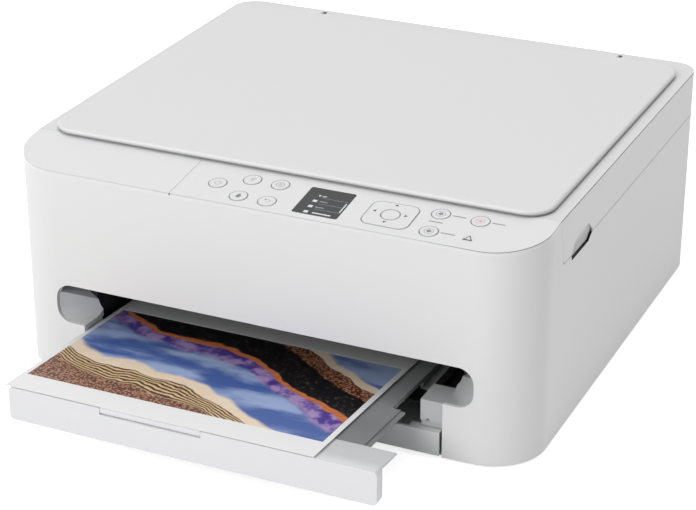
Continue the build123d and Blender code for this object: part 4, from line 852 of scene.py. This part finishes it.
deck_top = 118 * MM
deck_screws = [(side, depth) for side in (-1, 1) for depth in (84 * MM, 300 * MM)]
for number, (side, depth) in enumerate(deck_screws, 1):
    place = Matrix.Translation((side * 166 * MM, front_y + depth, deck_top))
    turn = Matrix.Rotation(0.6 * side + depth, 4, "Z")
    screw_head(f"deck_screw_{number}", place @ turn, 3.0 * MM)

rear_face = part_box("rear_panel")[1].y
rear_screws = [(-143 * MM, 108 * MM), (143 * MM, 108 * MM), (-143 * MM, 20 * MM), (143 * MM, 20 * MM)]
for number, (across, height) in enumerate(rear_screws, 1):
    on_rear = Matrix.Translation((across, rear_face, height)) @ Matrix.Rotation(-pi / 2, 4, "X")
    screw_head(f"rear_screw_{number}", on_rear, 2.8 * MM)


# Floor, light and camera

white = (1, 1, 1, 1)
floor_level = 0.82
floor_glow = 0.75          # light that only the camera and reflections see coming from the floor
light_from_around = 0.425  # strength of the world's light on the object; seen directly, it is 1


def seen_share(tree):
    """1 where the camera sees a surface, also in a reflection or through glass, 0 for the light it gives."""
    rays = [make_node(tree, "ShaderNodeLightPath", {}, {}, ray)
            for ray in ("Is Camera Ray", "Is Glossy Ray", "Is Transmission Ray")]
    return rays[0].highest(rays[1]).highest(rays[2])


def floor_white():
    """Pale studio floor that the camera and reflections see as nearly white, with its shadow kept."""
    material = bpy.data.materials.new("floor_white")
    material.use_nodes = True
    tree = material.node_tree
    shader = tree.nodes["Principled BSDF"]
    shader.inputs["Base Color"].default_value = (floor_level, floor_level, floor_level, 1)
    shader.inputs["Roughness"].default_value = 0.9
    glow = make_node(tree, "ShaderNodeEmission", {}, {"Color": white, "Strength": floor_glow})
    glowing = make_node(tree, "ShaderNodeAddShader", {}, [shader.outputs[0], glow])
    choice = make_node(tree, "ShaderNodeMixShader", {}, [seen_share(tree), shader.outputs[0], glowing])
    plug_in(tree, tree.nodes["Material Output"].inputs["Surface"], choice)
    return material


def studio():
    """Wide floor and an even white world."""
    leave_all()
    bpy.ops.mesh.primitive_plane_add(size=14, location=(0, 0, 0))
    floor = bpy.context.object
    floor.name = "floor"
    settle(floor)
    floor.data.materials.append(floor_white())

    world = bpy.data.worlds.new("studio")
    bpy.context.scene.world = world
    world.use_nodes = True
    tree = world.node_tree
    sky = tree.nodes["Background"]
    plug_in(tree, sky.inputs["Color"], white)
    plug_in(tree, sky.inputs["Strength"], seen_share(tree) * (1 - light_from_around) + light_from_around)


def soft_box(name, place, target, size, power):
    """Square area lamp, turned to a target."""
    leave_all()
    bpy.ops.object.light_add(type="AREA", location=place)
    lamp = bpy.context.object
    lamp.name = name
    lamp.data.size = size
    lamp.data.energy = power
    lamp.rotation_euler = (Vector(target) - Vector(place)).to_track_quat("-Z", "Y").to_euler()


studio()
soft_box("key_light", (-1.6, -1.7, 2.1), (0, 0, 0.08), 1.8, 18)
soft_box("top_light", (0.2, 0.6, 2.6), (0, 0, 0.1), 2.2, 19)
soft_box("front_light", (-0.35, -2.3, 1.2), (0, 0, 0.06), 1.0, 20.5)

# Camera, solved from the photograph's straight edges
photo_width = 696
focal_length = 2120.719  # in the photograph's pixels
sensor_width = 36
camera_azimuth = radians(24.486)
camera_elevation = radians(25.158)
camera_place = (0.556751, -1.080529 + front_y, 0.689008)

camera_data = bpy.data.cameras.new("camera")
camera = bpy.data.objects.new("camera", camera_data)
bpy.context.scene.collection.objects.link(camera)
camera.location = camera_place
camera.rotation_euler = (pi / 2 - camera_elevation, 0, camera_azimuth)
camera_data.sensor_width = sensor_width
camera_data.lens = sensor_width * focal_length / photo_width
camera_data.clip_start = 0.05
bpy.context.scene.camera = camera
bpy.context.scene.view_settings.view_transform = "Standard"
